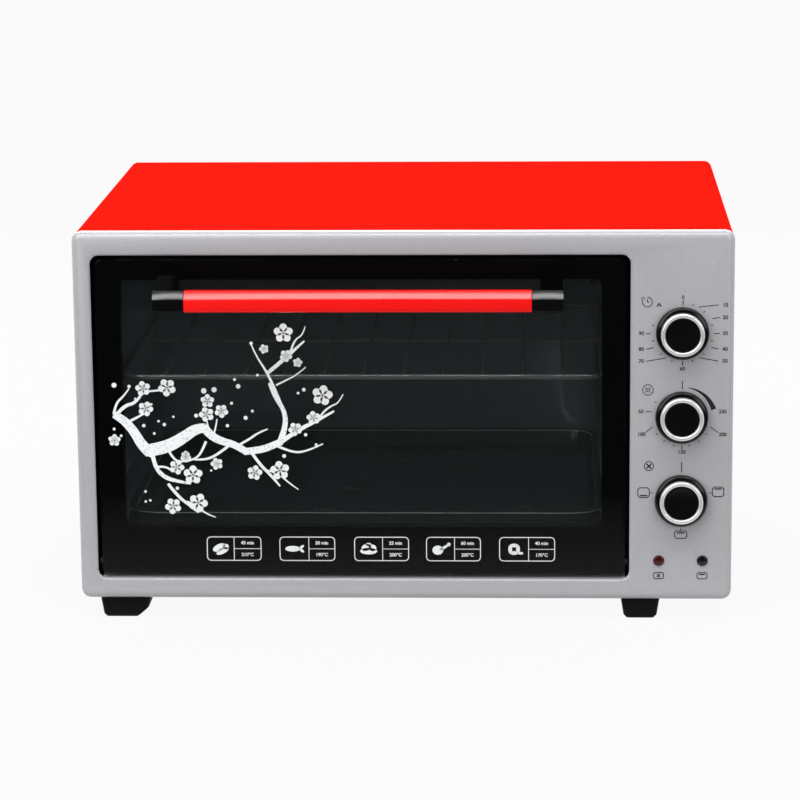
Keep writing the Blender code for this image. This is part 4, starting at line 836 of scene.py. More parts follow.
def dress(node: str, finish: Finish) -> None:
    """Gives a carried-over CAD node its finish.

    Args:
        node: The node's name.
        finish: What it is made of.
    """
    data = FRAME["nodes"][node].data
    data.materials.clear()
    data.materials.append(finish.material())
    LOG.info("%s: CAD solid in %s", node, finish.name)


def screw(
    piece: Piece, head: Sequence[float], way: Sequence[float], radius: float, finish: Finish
) -> None:
    """Adds a pan-head screw with a cross recess.

    Args:
        piece: The piece that carries it.
        head: Centre of the surface that the head sits on.
        way: The way that the head faces.
        radius: Radius of the head.
        finish: What it is made of.
    """
    dome = [(radius * out, radius * up) for out, up in SCREW_DOME]
    piece.turned([(0.0, -SCREW_SINK), (radius, -SCREW_SINK), *dome], head, way, finish, steps=24)
    along = Vector(way).normalized()
    side = along.orthogonal().normalized()
    top = Vector(head) + along * radius * RECESS_RISE
    for arm in (side, along.cross(side)):
        reach = arm * radius * RECESS_REACH
        piece.rod(top - reach, top + reach, radius * RECESS_WIDTH, FRAME_ENAMEL, 8)


# How far a screw's head sinks in; its dome and cross recess as shares of its radius
SCREW_SINK = 0.2 * MM
SCREW_DOME = ((1.0, 0.2), (0.85, 0.42), (0.5, 0.52), (0.0, 0.55))
RECESS_RISE = 0.56
RECESS_REACH = 0.45
RECESS_WIDTH = 0.09


def polar(angle: float, reach: float) -> Point:
    """Returns the offset at a clockwise angle from the top, in degrees, and a distance."""
    turn = math.radians(angle)
    return reach * math.sin(turn), reach * math.cos(turn)


@dataclass(frozen=True)
class Marks:
    """Prints about one spot of a surface that faces the viewer, by offsets in millimetres.

    Attributes:
        piece: The piece that holds the prints.
        ink: What they are printed in.
        front: Depth of the surface.
        middle: The spot, as x and z in metres.
        stroke: Half the width of a thin line.
        number_height: Height of the numbers.
    """

    piece: Piece
    ink: Finish
    front: float
    middle: Point = (0.0, 0.0)
    stroke: float = 0.42 * MM
    number_height: float = 3.2 * MM

    def spot(self, across: float, up: float) -> Point:
        """Returns the place of an offset, as x and z in metres."""
        return self.middle[0] + across * MM, self.middle[1] + up * MM

    def about(self, across: float, up: float) -> Marks:
        """Returns the same kind of marks about another spot."""
        return replace(self, middle=self.spot(across, up))

    def line(
        self, *points: Point, width: float = 1.0, closed: bool = False,
        taper: Sequence[float] | None = None, smooth: bool = False, steps: int = 1,
    ) -> None:
        """Prints a line through points.

        Args:
            points: The points.
            width: How many thin lines wide it is.
            closed: Whether it returns to its start.
            taper: A share of the width for each point.
            smooth: Whether it bends softly between the points.
            steps: Fineness of its section.
        """
        depth = self.front - INK_HEIGHT / 2
        spots = (self.spot(*point) for point in points)
        self.piece.wire(
            [(across, depth, up) for across, up in spots], self.stroke * width, self.ink,
            closed=closed, taper=taper, smooth=smooth, flat=INK_HEIGHT, steps=steps,
        )

    def number(self, words: str, across: float, up: float) -> None:
        """Prints a number, with its unit if it has one."""
        self.piece.text(words, self.spot(across, up), self.front, self.number_height, self.ink)

    def circle(self, radius: float, sweep: float = 360.0) -> None:
        """Prints a circle, or an arc that starts at the top."""
        steps = int(sweep / 15)
        self.line(*(polar(sweep * step / steps, radius) for step in range(steps + 1)))

    def flame(self, size: float) -> None:
        """Prints three rising waves, the plain sign for heat."""
        for shift in (-1.8, 0.0, 1.8):
            self.line(*(((shift + bend) * size, up * size) for bend, up in WAVE))

    def box(self, width: float, height: float) -> None:
        """Prints a small outline with cut corners, the plain sign for an oven.

        Args:
            width: Its width.
            height: Its height.
        """
        half, rise, sharp = width / 2, height / 2, height / 5
        self.line(*(
            (across * half - side * sharp, up * rise - level * sharp)
            for across, up, side, level in CUT_BOX
        ), width=SIGN_WIDTH)

    def bar(self, half: float, up: float) -> None:
        """Prints a level bar, the plain sign for a heating rod."""
        self.line((-half, up), (half, up), width=BAR_WIDTH)

    def oval(self, spot: Point, length: float, width: float, turn: float = 0.0) -> None:
        """Prints an oval.

        Args:
            spot: Its centre.
            length: Its length.
            width: Its width.
            turn: The way that its length points, in radians from the top.
        """
        across, up = self.spot(*spot)
        place = (
            Matrix.Translation((across, self.front - INK_HEIGHT / 2, up))
            @ Matrix.Rotation(turn, 4, "Y")
            @ Matrix.Diagonal((width * MM, INK_HEIGHT, length * MM, 1.0))
        )
        part = bmesh.new()
        bmesh.ops.create_cone(
            part, cap_ends=True, cap_tris=False, segments=OVAL_STEPS, radius1=0.5, radius2=0.5,
            depth=1.0, matrix=place @ Matrix.Rotation(math.pi / 2, 4, "X"),
        )
        self.piece.take(part, self.ink)


# Widths of the signs' lines, and the points of one wave and of an outline with cut corners
SIGN_WIDTH = 1.2
BAR_WIDTH = 1.6
WAVE = ((0.5, -2.4), (-0.4, -1.2), (0.4, 0.2), (-0.4, 1.4), (0.4, 2.4))
CUT_BOX = (
    (-1, -1, -1, 0), (1, -1, 1, 0), (1, -1, 0, -1), (1, 1, 0, 1), (1, 1, 1, 0), (-1, 1, -1, 0),
    (-1, 1, 0, 1), (-1, -1, 0, -1), (-1, -1, -1, 0),
)


@dataclass(frozen=True)
class Scale:
    """What is printed round a knob, by offsets from its axis in millimetres.

    Attributes:
        numbers: Each number and its place.
        leaders: Start and end of each thin line.
        ticks: Clockwise angles of the short ticks, in degrees.
        tick_start: Where a tick starts, from the axis.
        tick_end: Where it ends.
    """

    numbers: tuple[tuple[str, float, float], ...]
    leaders: tuple[tuple[float, float, float, float], ...]
    ticks: tuple[float, ...]
    tick_start: float = 25.2
    tick_end: float = 27.0

    def print_on(self, dial: Marks) -> None:
        """Prints the scale about a knob.

        Args:
            dial: The marks about the knob's axis.
        """
        for words, across, up in self.numbers:
            dial.number(words, across, up)
        for left, low, right, high in self.leaders:
            dial.line((left, low), (right, high))
        for angle in self.ticks:
            dial.line(polar(angle, self.tick_start), polar(angle, self.tick_end))


# What is printed round each knob
SCALES = {
    "timer": Scale(
        (
            ("0", 0.3, 31.0), ("10", 36.6, 24.4), ("20", 36.6, 13.6), ("30", 36.6, -0.4),
            ("40", 36.6, -14.2), ("50", 36.6, -24.6), ("60", 0.3, -31.4), ("70", -35.2, -24.8),
            ("80", -35.2, -14.2), ("90", -35.2, -0.4),
        ),
        (
            (0.3, 24.6, 0.3, 28.4), (0.3, -24.8, 0.3, -28.4), (13.6, 22.6, 30.6, 24.6),
            (25.6, 12.6, 31.8, 13.6), (27.0, -0.4, 31.8, -0.4), (25.0, -12.6, 30.8, -14.0),
            (14.6, -21.6, 30.8, -24.6), (-27.6, -0.4, -31.0, -0.4), (-24.6, -12.8, -30.8, -14.2),
            (-14.0, -21.8, -30.8, -24.8),
        ),
        (20, 45, 75, 105, 135, 160, 200, 225, 255, 285),
    ),
    "temperature": Scale(
        (
            ("50", -35.2, 4.8), ("230", 35.2, 4.8), ("100", -34.6, -15.4), ("200", 35.4, -15.4),
            ("150", 0.3, -31.0),
        ),
        (
            (0.3, 24.8, 0.3, 32.0), (-25.0, -8.6, -31.0, -13.6), (25.0, -8.6, 31.0, -13.6),
            (0.3, -25.0, 0.3, -28.6), (-26.0, 4.8, -31.0, 4.8),
        ),
        (125, 145, 165, 195, 215, 235, 300),
    ),
    "function": Scale((), ((0.3, 25.0, 0.3, 34.0),), (75, 180, 285)),
}


@dataclass
class FrontFace:
    """The silver face with its printed dials."""

    door_gap: float = 3.8 * MM
    wall_slope: float = 0.2  # a side that faces the viewer less than this gets the painted gap shade
    lip_slope: float = 0.97  # and one that faces the viewer less than this gets the painted lip highlight
    wedge_steps: int = 18
    wedge_width: float = 2.3 * MM  # half of its greatest width

    def build(self) -> None:
        """Builds the face and its prints."""
        face = Piece("front_face")
        face.copy("front_frame", SILVER_PAINT, sharp=40.0)
        self._paint_gap_shade_and_lip(face)
        face.done("oven", "front_frame")
        self._print_dials()

    def _paint_gap_shade_and_lip(self, face: Piece) -> None:
        """Paints the walls round the door black as painted shade in the gap, and paints a highlight
        on the lip.

        Args:
            face: The silver face.
        """
        opening = Rect.of_node("door_outer_glass").grown(self.door_gap)
        face.finishes += [GAP_SHADE_PAINT, LIP_HIGHLIGHT_PAINT]
        face.mesh.normal_update()
        for side in face.mesh.faces:
            if not all(opening.holds(corner.co.x, corner.co.z) for corner in side.verts):
                continue
            # Walls inside the opening get painted shade
            if abs(side.normal.y) < self.wall_slope:
                side.material_index = face.finishes.index(GAP_SHADE_PAINT)
            # Sloped faces of the lip get the painted highlight
            elif abs(side.normal.y) < self.lip_slope:
                side.material_index = face.finishes.index(LIP_HIGHLIGHT_PAINT)

    def _print_dials(self) -> None:
        """Prints the marks of the three dials and the lamps, in dark grey."""
        all_prints = Marks(Piece("dial_prints"), DARK_INK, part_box("front_frame")[0][1])
        signs = {"timer": self._clock, "temperature": self._wedge, "function": self._rods}
        for name, scale in SCALES.items():
            dial = replace(all_prints, middle=Rect.of_node(f"{name}_knob").middle)
            scale.print_on(dial)
            signs[name](dial)
        for side in ("left", "right"):
            lamp = replace(all_prints, middle=Rect.of_node(f"indicator_lens_{side}").middle)
            sign = lamp.about(0.0, -13.6)
            sign.box(8.6, 5.6)
            if side == "left":
                sign.flame(0.6)
            else:
                sign.bar(2.6, 1.2)
        all_prints.piece.done("oven", slot="silver_paint")

    def _clock(self, dial: Marks) -> None:
        """Prints the timer's clock and its bell.

        Args:
            dial: The marks about the knob's axis.
        """
        clock = dial.about(-30.2, 27.0)
        clock.circle(4.2, 300.0)
        clock.line((0.0, 0.0), (0.0, 2.6))
        clock.line((0.0, 0.0), (1.8, 0.0))
        clock.line((-5.6, 2.2), (-3.6, 4.4), (-2.0, 2.6))
        dial.about(-20.2, 24.4).line((-1.6, -1.2), (0.0, 1.6), (1.6, -1.2), width=2.0)

    def _wedge(self, dial: Marks) -> None:
        """Prints the wedge that thickens as the heat rises, and the heat's sign.

        Args:
            dial: The marks about the knob's axis.
        """
        shares = [step / self.wedge_steps for step in range(self.wedge_steps + 1)]
        dial.line(
            *(polar(12 + 64 * share, 26.4 + 1.8 * share) for share in shares),
            width=self.wedge_width / dial.stroke, taper=[0.12 + 0.88 * share for share in shares],
            steps=2,
        )
        sign = dial.about(-29.2, 24.0)
        sign.circle(4.6)
        sign.flame(0.9)

    def _rods(self, dial: Marks) -> None:
        """Prints the heating signs: a fan, and ovens with the rod that glows.

        Args:
            dial: The marks about the knob's axis.
        """
        fan = dial.about(-28.0, 30.4)
        fan.circle(4.0)
        for turn in (45, 135, 225, 315):
            fan.line((0.0, 0.0), polar(turn, 3.0), width=BAR_WIDTH)
        for across, up, width, height, bar in OVENS:
            sign = dial.about(across, up)
            sign.box(width, height)
            sign.bar(3.2, bar)


# The oven signs of the third dial: place, width, height and level of the bar, in millimetres
OVENS = ((-32.4, 6.8, 10.0, 8.6, -2.6), (32.0, 7.6, 10.0, 8.6, 2.6), (0.0, -30.8, 10.6, 6.6, 1.6))


@dataclass
class Casing:
    """The red wrap, the rear cover, the floor sheet, the feet and the mains entry."""

    screw_radius: float = 3.4 * MM
    screw_inset: float = 14.0 * MM  # from the cover's edges
    screw_rise: float = 0.6  # depth of the screws' seat below the outermost face, in radii
    sheet: float = 1.2 * MM
    lip: float = 12.0 * MM  # how far the wrap turns in below the oven
    top_bend: float = 7.5 * MM
    low_bend: float = 2.2 * MM
    relief: float = 6.0 * MM  # size of the cut-off lower front corners
    slots: int = 9
    slot_start: float = 50.7 * MM
    slot_pitch: float = 9.0 * MM
    slot_width: float = 3.0 * MM
    slot_height: float = 34.0 * MM
    slot_rises: tuple[float, float] = (69.5 * MM, 214.5 * MM)
    foot_edge: float = 0.8 * MM

    def build(self) -> None:
        """Builds the outside sheets and what is fixed to them."""
        self._wrap()
        cover = Piece("rear_sheet")
        cover.copy("rear_cover", GALVANISED)
        rect = Rect.of_node("rear_cover").grown(-self.screw_inset)
        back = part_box("rear_cover")[1][1] - self.screw_radius * self.screw_rise
        for across in (rect.left, rect.middle[0], rect.right):
            for up in (rect.low, rect.high):
                screw(cover, (across, back, up), (0, 1, 0), self.screw_radius, ZINC_SCREW)
        cover.done("oven", "rear_cover")
        refine("floor_sheet", "base_plate", "oven", GALVANISED)
        for place in ("front_left", "front_right", "rear_left", "rear_right"):
            refine(
                f"rubber_foot_{place}", f"foot_{place}", "oven", RUBBER, self.foot_edge, turn=30.0
            )
        refine("mains_grommet", "cord_grommet", "oven", RUBBER)
        dress("terminal_block", WHITE_MOULDING)

    def _wrap(self) -> None:
        """Bends the red sheet over the oven, cuts its slots and gives it its thickness."""
        low, high = (Vector(corner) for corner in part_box("outer_casing"))
        part = bmesh.new()
        run = (
            (low.x + self.lip, low.z), (low.x, low.z), (low.x, high.z), (high.x, high.z),
            (high.x, low.z), (high.x - self.lip, low.z),
        )
        spots = [part.verts.new((across, low.y, up)) for across, up in run]
        for first, second in zip(spots, spots[1:]):
            part.edges.new((first, second))
        grown = bmesh.ops.extrude_edge_only(part, edges=list(part.edges))
        moved = [item for item in grown["geom"] if isinstance(item, bmesh.types.BMVert)]
        bmesh.ops.translate(part, verts=moved, vec=(0.0, high.y - low.y, 0.0))
        for level, bend in ((high.z, self.top_bend), (low.z, self.low_bend)):
            folds = [
                item for item in part.edges
                if len(item.link_faces) == 2 and abs(item.verts[0].co.z - level) < TOUCH
            ]
            soften(part, folds, bend, CORNER_STEPS)
        for side in (-1, 1):
            corner = (side * (high.x - self.relief), low.y, low.z)
            cut(part, corner, (side, -1.0, -1.0), drop=True)
        self._slots(part, low)
        part.normal_update()
        roof = max(part.faces, key=lambda face: face.calc_center_median().z)
        if roof.normal.z < 0:
            bmesh.ops.reverse_faces(part, faces=part.faces)
        bmesh.ops.solidify(part, geom=list(part.faces), thickness=self.sheet)
        wrap = Piece("red_wrap")
        wrap.take(part, RED_ENAMEL)
        wrap.done("oven", "outer_casing")

    def _slots(self, part: Mesh, low: Vector) -> None:
        """Cuts the cooling slots in both sides of the flat sheet.

        Args:
            part: The bent sheet, still without thickness.
            low: The sheet's lowest corner.
        """
        first = low.y + self.slot_start
        starts = [first + self.slot_pitch * number for number in range(self.slots)]
        rises = [low.z + rise for rise in self.slot_rises]
        for start in starts:
            for more in (0.0, self.slot_width):
                cut(part, (0.0, start + more, 0.0), (0.0, 1.0, 0.0))
        for rise in rises:
            for more in (0.0, self.slot_height):
                cut(part, (0.0, 0.0, rise + more), (0.0, 0.0, 1.0))
        gone = []
        for face in part.faces:
            across, along, up = face.calc_center_median()
            in_row = any(start < along < start + self.slot_width for start in starts)
            in_rise = any(rise < up < rise + self.slot_height for rise in rises)
            if in_row and in_rise and abs(across) > -low.x - TOUCH:
                gone.append(face)
        bmesh.ops.delete(part, geom=gone, context="FACES")


@dataclass
class Cavity:
    """The enamelled inside, the heating rods and the door's fixed hardware."""

    sheath: float = 4.0 * MM  # radius of a heating rod
    pin: float = 6.0 * MM
    pin_radius: float = 1.5 * MM
    ceramic: float = 14.0 * MM  # how far it reaches from the rod's end
    ceramic_radius: float = 6.0 * MM

    def build(self) -> None:
        """Dresses the inside of the oven."""
        for name in ("left_wall", "right_wall", "roof", "floor", "back"):
            refine(f"enamel_{name}", f"cavity_{name}", "oven", CAVITY_ENAMEL, sharp=50.0)
        # Painted shade: the mouth is coloured black so that the gap round the door reads dark
        dress("cavity_mouth", FRAME_ENAMEL)
        for place in ("lower_front", "lower_rear", "upper_front", "upper_rear"):
            self._rod(f"heating_rod_{place}")
        for side in ("left", "right"):
            # Hinge brackets near-black, partly as painted shade in the gap round the door
            dress(f"hinge_bracket_{side}", BLACKENED_STEEL_AND_GAP_SHADE)
            dress(f"door_spring_{side}", STEEL)

    def _rod(self, node: str) -> None:
        """Makes a smooth sheathed rod with a ceramic at each end.

        Args:
            node: The rod's CAD node.
        """
        low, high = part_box(node)
        along, up = (low[1] + high[1]) / 2, (low[2] + high[2]) / 2
        rod = Piece(f"sheathed_{node}")

        def section(start: float, end: float, radius: float, finish: Finish, steps: int) -> None:
            """Adds a stretch of the rod, from one x to another."""
            rod.rod((start, along, up), (end, along, up), radius, finish, steps)

        section(low[0] + self.pin, high[0] - self.pin, self.sheath, HEATED_SHEATH, 32)
        for end, turn in ((low[0], 1), (high[0], -1)):
            bare, cover = end + turn * self.pin, end + turn * self.ceramic
            section(end, bare, self.pin_radius, STEEL, 16)
            section(bare, cover, self.ceramic_radius, WHITE_MOULDING, 32)
        rod.done("oven", node)


def smoothed(points: Sequence[Point], steps: int = 4) -> list[Point]:
    """Runs a soft curve through a few points.

    Args:
        points: The points that it goes through.
        steps: Steps between two of them.

    Returns:
        The curve's points.
    """
    ends = [points[0], *points, points[-1]]
    made = []
    for before, first, last, after in zip(ends, ends[1:], ends[2:], ends[3:]):
        for step in range(steps):
            share = step / steps
            made.append(tuple(
                0.5 * (
                    2 * b + (c - a) * share + (2 * a - 5 * b + 4 * c - d) * share**2
                    + (3 * b - a - 3 * c + d) * share**3
                )
                for a, b, c, d in zip(before, first, last, after)
            ))
    return [*made, points[-1]]


@dataclass
class Door:
    """The glass door: two panes, the pressed frame, the seal, the hinges and the printing."""

    pane_corner: float = 6.0 * MM
    pane_rim: float = 0.8 * MM
    inner_corner: float = 3.0 * MM
    inner_rim: float = 0.5 * MM
    seal_rim: float = 0.5 * MM
    border_inset: float = 0.4 * MM  # from the outer pane's edges
    window_inset: float = 8.0 * MM  # from the inner pane's edges
    window_corner: float = 7.0 * MM
    layer: float = 0.2 * MM  # thickness of the black border
    branch_weight: float = 1.45  # widening of the limbs
    thick_limb: float = 2.0  # millimetres of width above which a limb is printed as bark
    bloom: float = 1.22  # widening of the flowers
    table_low: float = 53.0  # edges of the small tables, in millimetres
    table_high: float = 74.2
    table_corner: float = 3.4
    word_height: float = 2.9 * MM

    def build(self) -> None:
        """Builds the door and its prints."""
        low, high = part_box("door_outer_glass")
        self._pane("outer", TINTED_GLASS, self.pane_corner, self.pane_rim)
        self._ink_border(high[1])
        refine("pressed_door_frame", "door_inner_frame", "door", FRAME_ENAMEL)
        self._pane("inner", CLEAR_GLASS, self.inner_corner, self.inner_rim)
        refine("silicone_seal", "door_seal", "door", SILICONE, self.seal_rim)
        for side in ("left", "right"):
            # Hinge pins near-black, partly as painted shade in the gap round the door
            dress(f"hinge_pin_{side}", BLACKENED_STEEL_AND_GAP_SHADE)
            dress(f"door_stay_{side}", STEEL)
        self._branch(low[1])
        self._food_table(low[1])

    def _pane(self, name: str, glass: Finish, corner: float, rim: float) -> None:
        """Makes the outer or the inner pane.

        Args:
            name: Which pane.
            glass: What it is made of.
            corner: Radius of its corners.
            rim: Radius of its rims.
        """
        node = f"door_{name}_glass"
        low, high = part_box(node)
        pane = Piece(f"{name}_pane")
        pane.slab(Rect.of_node(node), low[1], high[1], glass, corner, rim)
        pane.done("door", node)

    def _ink_border(self, back: float) -> None:
        """Prints the black border behind the outer pane, with a clear window in it.

        Args:
            back: Depth of the pane's back.
        """
        outline = Rect.of_node("door_outer_glass").grown(-self.border_inset)
        window = Rect.of_node("door_inner_glass").grown(-self.window_inset)
        part = bmesh.new()
        for edges, corner in ((outline, self.pane_corner), (window, self.window_corner)):
            ring = flat_part(edges, back + TOUCH, corner)
            bmesh.ops.delete(ring, geom=list(ring.faces), context="FACES_ONLY")
            join(part, ring)
        bmesh.ops.bridge_loops(part, edges=list(part.edges))
        thicken(part, self.layer - TOUCH)
        border = Piece("black_border")
        border.take(part, BLACK_INK)
        border.done("door", slot="black_glass")

    def _branch(self, front: float) -> None:
        """Prints a plain flowering branch in white on the pane.

        Args:
            front: Depth of the pane's front.
        """
        limbs = Marks(Piece("branch_print"), WHITE_INK, front)
        for path, widths in BRANCH:
            ink = BARK_INK if widths[0] > self.thick_limb else WHITE_INK
            width = widths[0] * self.branch_weight * MM / 2 / limbs.stroke
            taper = [share / widths[0] for share in widths]
            replace(limbs, ink=ink).line(*path, width=width, taper=taper, smooth=True, steps=2)
        limbs.piece.done("door", slot="white_plastic")
        flowers = Marks(Piece("blossom_print"), WHITE_INK, front)
        for number, (across, up, size) in enumerate(BLOSSOMS):
            self._blossom(flowers.about(across, up), size * self.bloom, number * BLOSSOM_TURN)
        for across, up, size in BUDS:
            flowers.oval((across, up), size, size)
        flowers.piece.done("door", slot="white_plastic")

    def _blossom(self, flower: Marks, size: float, start: float) -> None:
        """Prints a flower of five petals.

        Args:
            flower: The marks about its middle.
            size: Its width, in millimetres.
            start: How far its first petal is turned, in radians.
        """
        for number in range(5):
            turn = start + math.tau * number / 5
            reach = size * PETAL_REACH
            spot = reach * math.sin(turn), reach * math.cos(turn)
            flower.oval(spot, size * PETAL_LENGTH, size * PETAL_WIDTH, turn)

    def _food_table(self, front: float) -> None:
        """Prints the row of five small tables: a food and its times on each.

        Args:
            front: Depth of the pane's front.
        """
        piece = Piece("food_table_print")
        prints = Marks(piece, WHITE_INK, front, number_height=self.word_height)
        level = (self.table_low + self.table_high) / 2
        for (left, middle, right), food, (time, heat) in zip(TABLES, Food, TIMES):
            rect = Rect(left, self.table_low, right, self.table_high)
            prints.line(*rect.rounded(self.table_corner, 4), closed=True)
            prints.line((middle, rect.low), (middle, rect.high), width=DIVIDER_WIDTH)
            prints.line((middle, level), (right, level), width=DIVIDER_WIDTH)
            prints.number(time, (middle + right) / 2, level + WORD_RISE)
            prints.number(heat, (middle + right) / 2, level - WORD_DROP)
            cell = prints.about((left + middle) / 2, level)
            for across, up, length, width, turn in FOOD_SHAPES[food]:
                cell.oval((across, up), length, width, math.radians(turn))
        piece.done("door", slot="white_plastic")


# A flower's petals as shares of its size, and the turn from one flower to the next in radians
PETAL_REACH = 0.27
PETAL_LENGTH = 0.46
PETAL_WIDTH = 0.4
BLOSSOM_TURN = 0.9
# The small tables: width of the dividers, and how far the words stand from the middle
DIVIDER_WIDTH = 0.7
WORD_RISE = 5.2
WORD_DROP = 5.4


class Food(Enum):
    """The foods on the small tables."""

    SLICE = 0
    FISH = 1
    PASTRY = 2
    LEG = 3
    RING = 4


# Ovals of each food: offsets, length, width in millimetres, and a turn in degrees
FOOD_SHAPES = {
    Food.SLICE: ((-1.5, 1, 6, 12, -28), (1.5, -2.2, 5, 12, -28), (4.6, 1.8, 5, 5, 0)),
    Food.FISH: ((-1.4, 0, 5.2, 13.5, 0), (6.4, 1.6, 5, 2.4, 50), (6.4, -1.6, 5, 2.4, -50)),
    Food.PASTRY: ((0, -2, 6, 15, 0), (-2, 1.4, 6, 9, -20), (3.4, 1, 6, 7, 30), (0, 4, 3, 5, 0)),
    Food.LEG: ((-2.4, -1, 8.4, 9.6, 0), (3.4, 1.6, 2.4, 9, -32), (7.2, 4.2, 3.4, 3.2, 0)),
    Food.RING: (
        (-3.4, 0, 8, 3.4, 0), (3.4, 0, 8, 3.4, 0), (0, 3.4, 3.4, 7.4, 0), (0, -3.4, 3.4, 7.4, 0),
        (5.6, -3.6, 2.4, 5, 0),
    ),
}
# Minutes and degrees on each table
TIMES = (
    ("45 min", "210°C"), ("30 min", "190°C"), ("25 min", "200°C"), ("60 min", "200°C"),
    ("40 min", "170°C"),
)
# Left edge, divider and right edge of each table, in millimetres
TABLES = (
    (-172.9, -149.3, -125.7), (-109.1, -83.7, -61.0), (-43.6, -19.1, 3.6),
    (19.3, 43.8, 66.4), (83.1, 108.4, 131.1),
)

# Points of each limb and their widths, in millimetres; an own composition
BRANCH = (
    (((-252, 184), (-244, 180), (-234, 168), (-228, 156), (-221, 150)), (4.2, 5.2, 5.6, 6.2, 7.0)),
    (((-222, 152), (-208, 154), (-192, 163), (-180, 172), (-172, 172)), (7.6, 8.0, 7.0, 6.2, 5.4)),
    (((-174, 173), (-168, 165), (-158, 160), (-146, 157), (-136, 150)), (5.4, 5.0, 4.6, 4.2, 4.2)),
    (((-138, 151), (-126, 152), (-114, 156), (-106, 160)), (4.2, 4.4, 4.2, 4.0)),
    (((-108, 158), (-102, 172), (-103, 188), (-112, 200), (-116, 212)), (4.0, 3.2, 2.6, 2.2, 1.6)),
    (((-106, 192), (-111, 206), (-118, 222), (-127, 236), (-131, 246)), (2.2, 1.8, 1.4, 1.0, 0.8)),
    (((-117, 221), (-106, 230), (-96, 239), (-85, 249)), (2.2, 2.4, 2.0, 1.0)),
    (((-97, 239), (-94, 250), (-86, 254), (-84, 262)), (1.4, 1.0, 0.8, 0.6)),
    (((-110, 210), (-102, 214), (-92, 219), (-84, 226)), (1.2, 1.0, 0.8, 0.6)),
    (((-106, 160), (-92, 170), (-76, 178), (-60, 187)), (2.8, 2.4, 2.2, 1.2)),
    (((-74, 179), (-70, 186), (-62, 192), (-56, 194), (-52, 202)), (1.2, 1.2, 1.0, 0.8, 0.6)),
    (((-112, 157), (-98, 150), (-84, 151), (-70, 158)), (1.6, 1.4, 1.2, 0.8)),
    (((-250, 183), (-243, 192), (-232, 194), (-226, 204)), (2.0, 2.2, 1.8, 1.2)),
    (((-252, 184), (-250, 194), (-243, 200), (-238, 207)), (1.6, 1.4, 1.2, 0.8)),
    (((-227, 204), (-216, 205), (-206, 206)), (1.2, 1.2, 1.0)),
    (((-238, 178), (-230, 182), (-222, 187)), (1.6, 1.4, 1.0)),
    (((-236, 172), (-233, 160), (-226, 149), (-220, 147)), (2.4, 2.2, 2.2, 2.0)),
    (((-219, 148), (-217, 136), (-208, 127), (-196, 124), (-186, 122)), (2.6, 2.4, 2.6, 2.0, 1.0)),
    (((-216, 137), (-208, 138), (-202, 133), (-196, 134)), (1.4, 1.4, 1.2, 0.8)),
    (((-206, 122), (-198, 111), (-188, 103), (-180, 96)), (1.8, 2.0, 1.6, 0.8)),
    (((-190, 106), (-181, 103), (-174, 95), (-165, 92)), (1.2, 1.2, 1.0, 0.6)),
    (((-206, 154), (-201, 144), (-194, 141), (-186, 144)), (1.6, 1.4, 1.2, 1.0)),
    (((-172, 160), (-176, 150), (-182, 144), (-190, 142)), (1.6, 1.4, 1.2, 1.0)),
    (((-150, 158), (-162, 148), (-174, 143), (-184, 144)), (1.6, 1.6, 1.4, 1.0)),
    (((-133, 151), (-126, 140), (-116, 130), (-108, 120)), (1.8, 1.8, 1.8, 1.0)),
    (((-120, 134), (-110, 133), (-102, 124), (-92, 117)), (1.2, 1.2, 1.0, 0.6)),
    (((-143, 157), (-134, 162), (-126, 168), (-118, 171)), (1.4, 1.4, 1.2, 0.8)),
    (((-166, 164), (-163, 172), (-162, 180)), (1.2, 1.0, 0.8)),
    (((-169, 168), (-170, 178), (-174, 186)), (1.0, 0.8, 0.6)),
)
# Place and size of each flower, in millimetres
BLOSSOMS = (
    (-103, 256, 14), (-120, 242, 7), (-101, 236, 9), (-91, 230, 7), (-226, 207, 11),
    (-205, 208, 13), (-224, 189, 11), (-170, 196, 10), (-171, 184, 11), (-158, 187, 10),
    (-70, 201, 15), (-78, 181, 10), (-94, 171, 10), (-198, 137, 11), (-184, 130, 14),
    (-163, 140, 9), (-190, 146, 8), (-130, 132, 11), (-108, 134, 14), (-202, 102, 12),
    (-180, 105, 14), (-252, 161, 9),
)
# Place and size of each bud, in millimetres
BUDS = (
    (-251, 210, 4.4), (-238, 209, 3.0), (-252, 171, 2.6), (-246, 165, 2.4), (-213, 178, 2.2),
    (-208, 175, 3.0), (-226, 174, 3.0), (-217, 167, 2.4), (-164, 206, 4.6), (-173, 205, 4.8),
    (-149, 194, 2.6), (-143, 209, 4.0), (-146, 215, 2.6), (-137, 181, 3.6), (-153, 174, 3.0),
    (-131, 187, 2.4), (-104, 147, 3.4), (-126, 219, 2.4), (-86, 206, 3.2), (-91, 203, 2.4),
    (-180, 183, 3.6), (-226, 115, 2.4), (-222, 107, 2.2), (-226, 106, 2.2), (-198, 118, 3.0),
    (-190, 150, 3.0), (-168, 134, 2.0), (-85, 166, 3.0), (-76, 157, 2.6), (-131, 247, 3.0),
    (-233, 198, 2.0), (-200, 182, 2.0), (-219, 193, 2.2),
)


@dataclass
class Handle:
    """The red bar and its two black ends."""

    bar_edge: float = 0.7 * MM
    end_edge: float = 0.6 * MM

    def build(self) -> None:
        """Builds the handle."""
        refine(
            "red_bar", "handle_bar", "door", RED_LACQUER, self.bar_edge, steps=3, turn=20.0,
            sharp=50.0,
        )
        for side in ("left", "right"):
            refine(
                f"black_end_{side}", f"handle_end_{side}", "door", GLOSS_BLACK, self.end_edge,
                turn=24.0, sharp=50.0,
            )


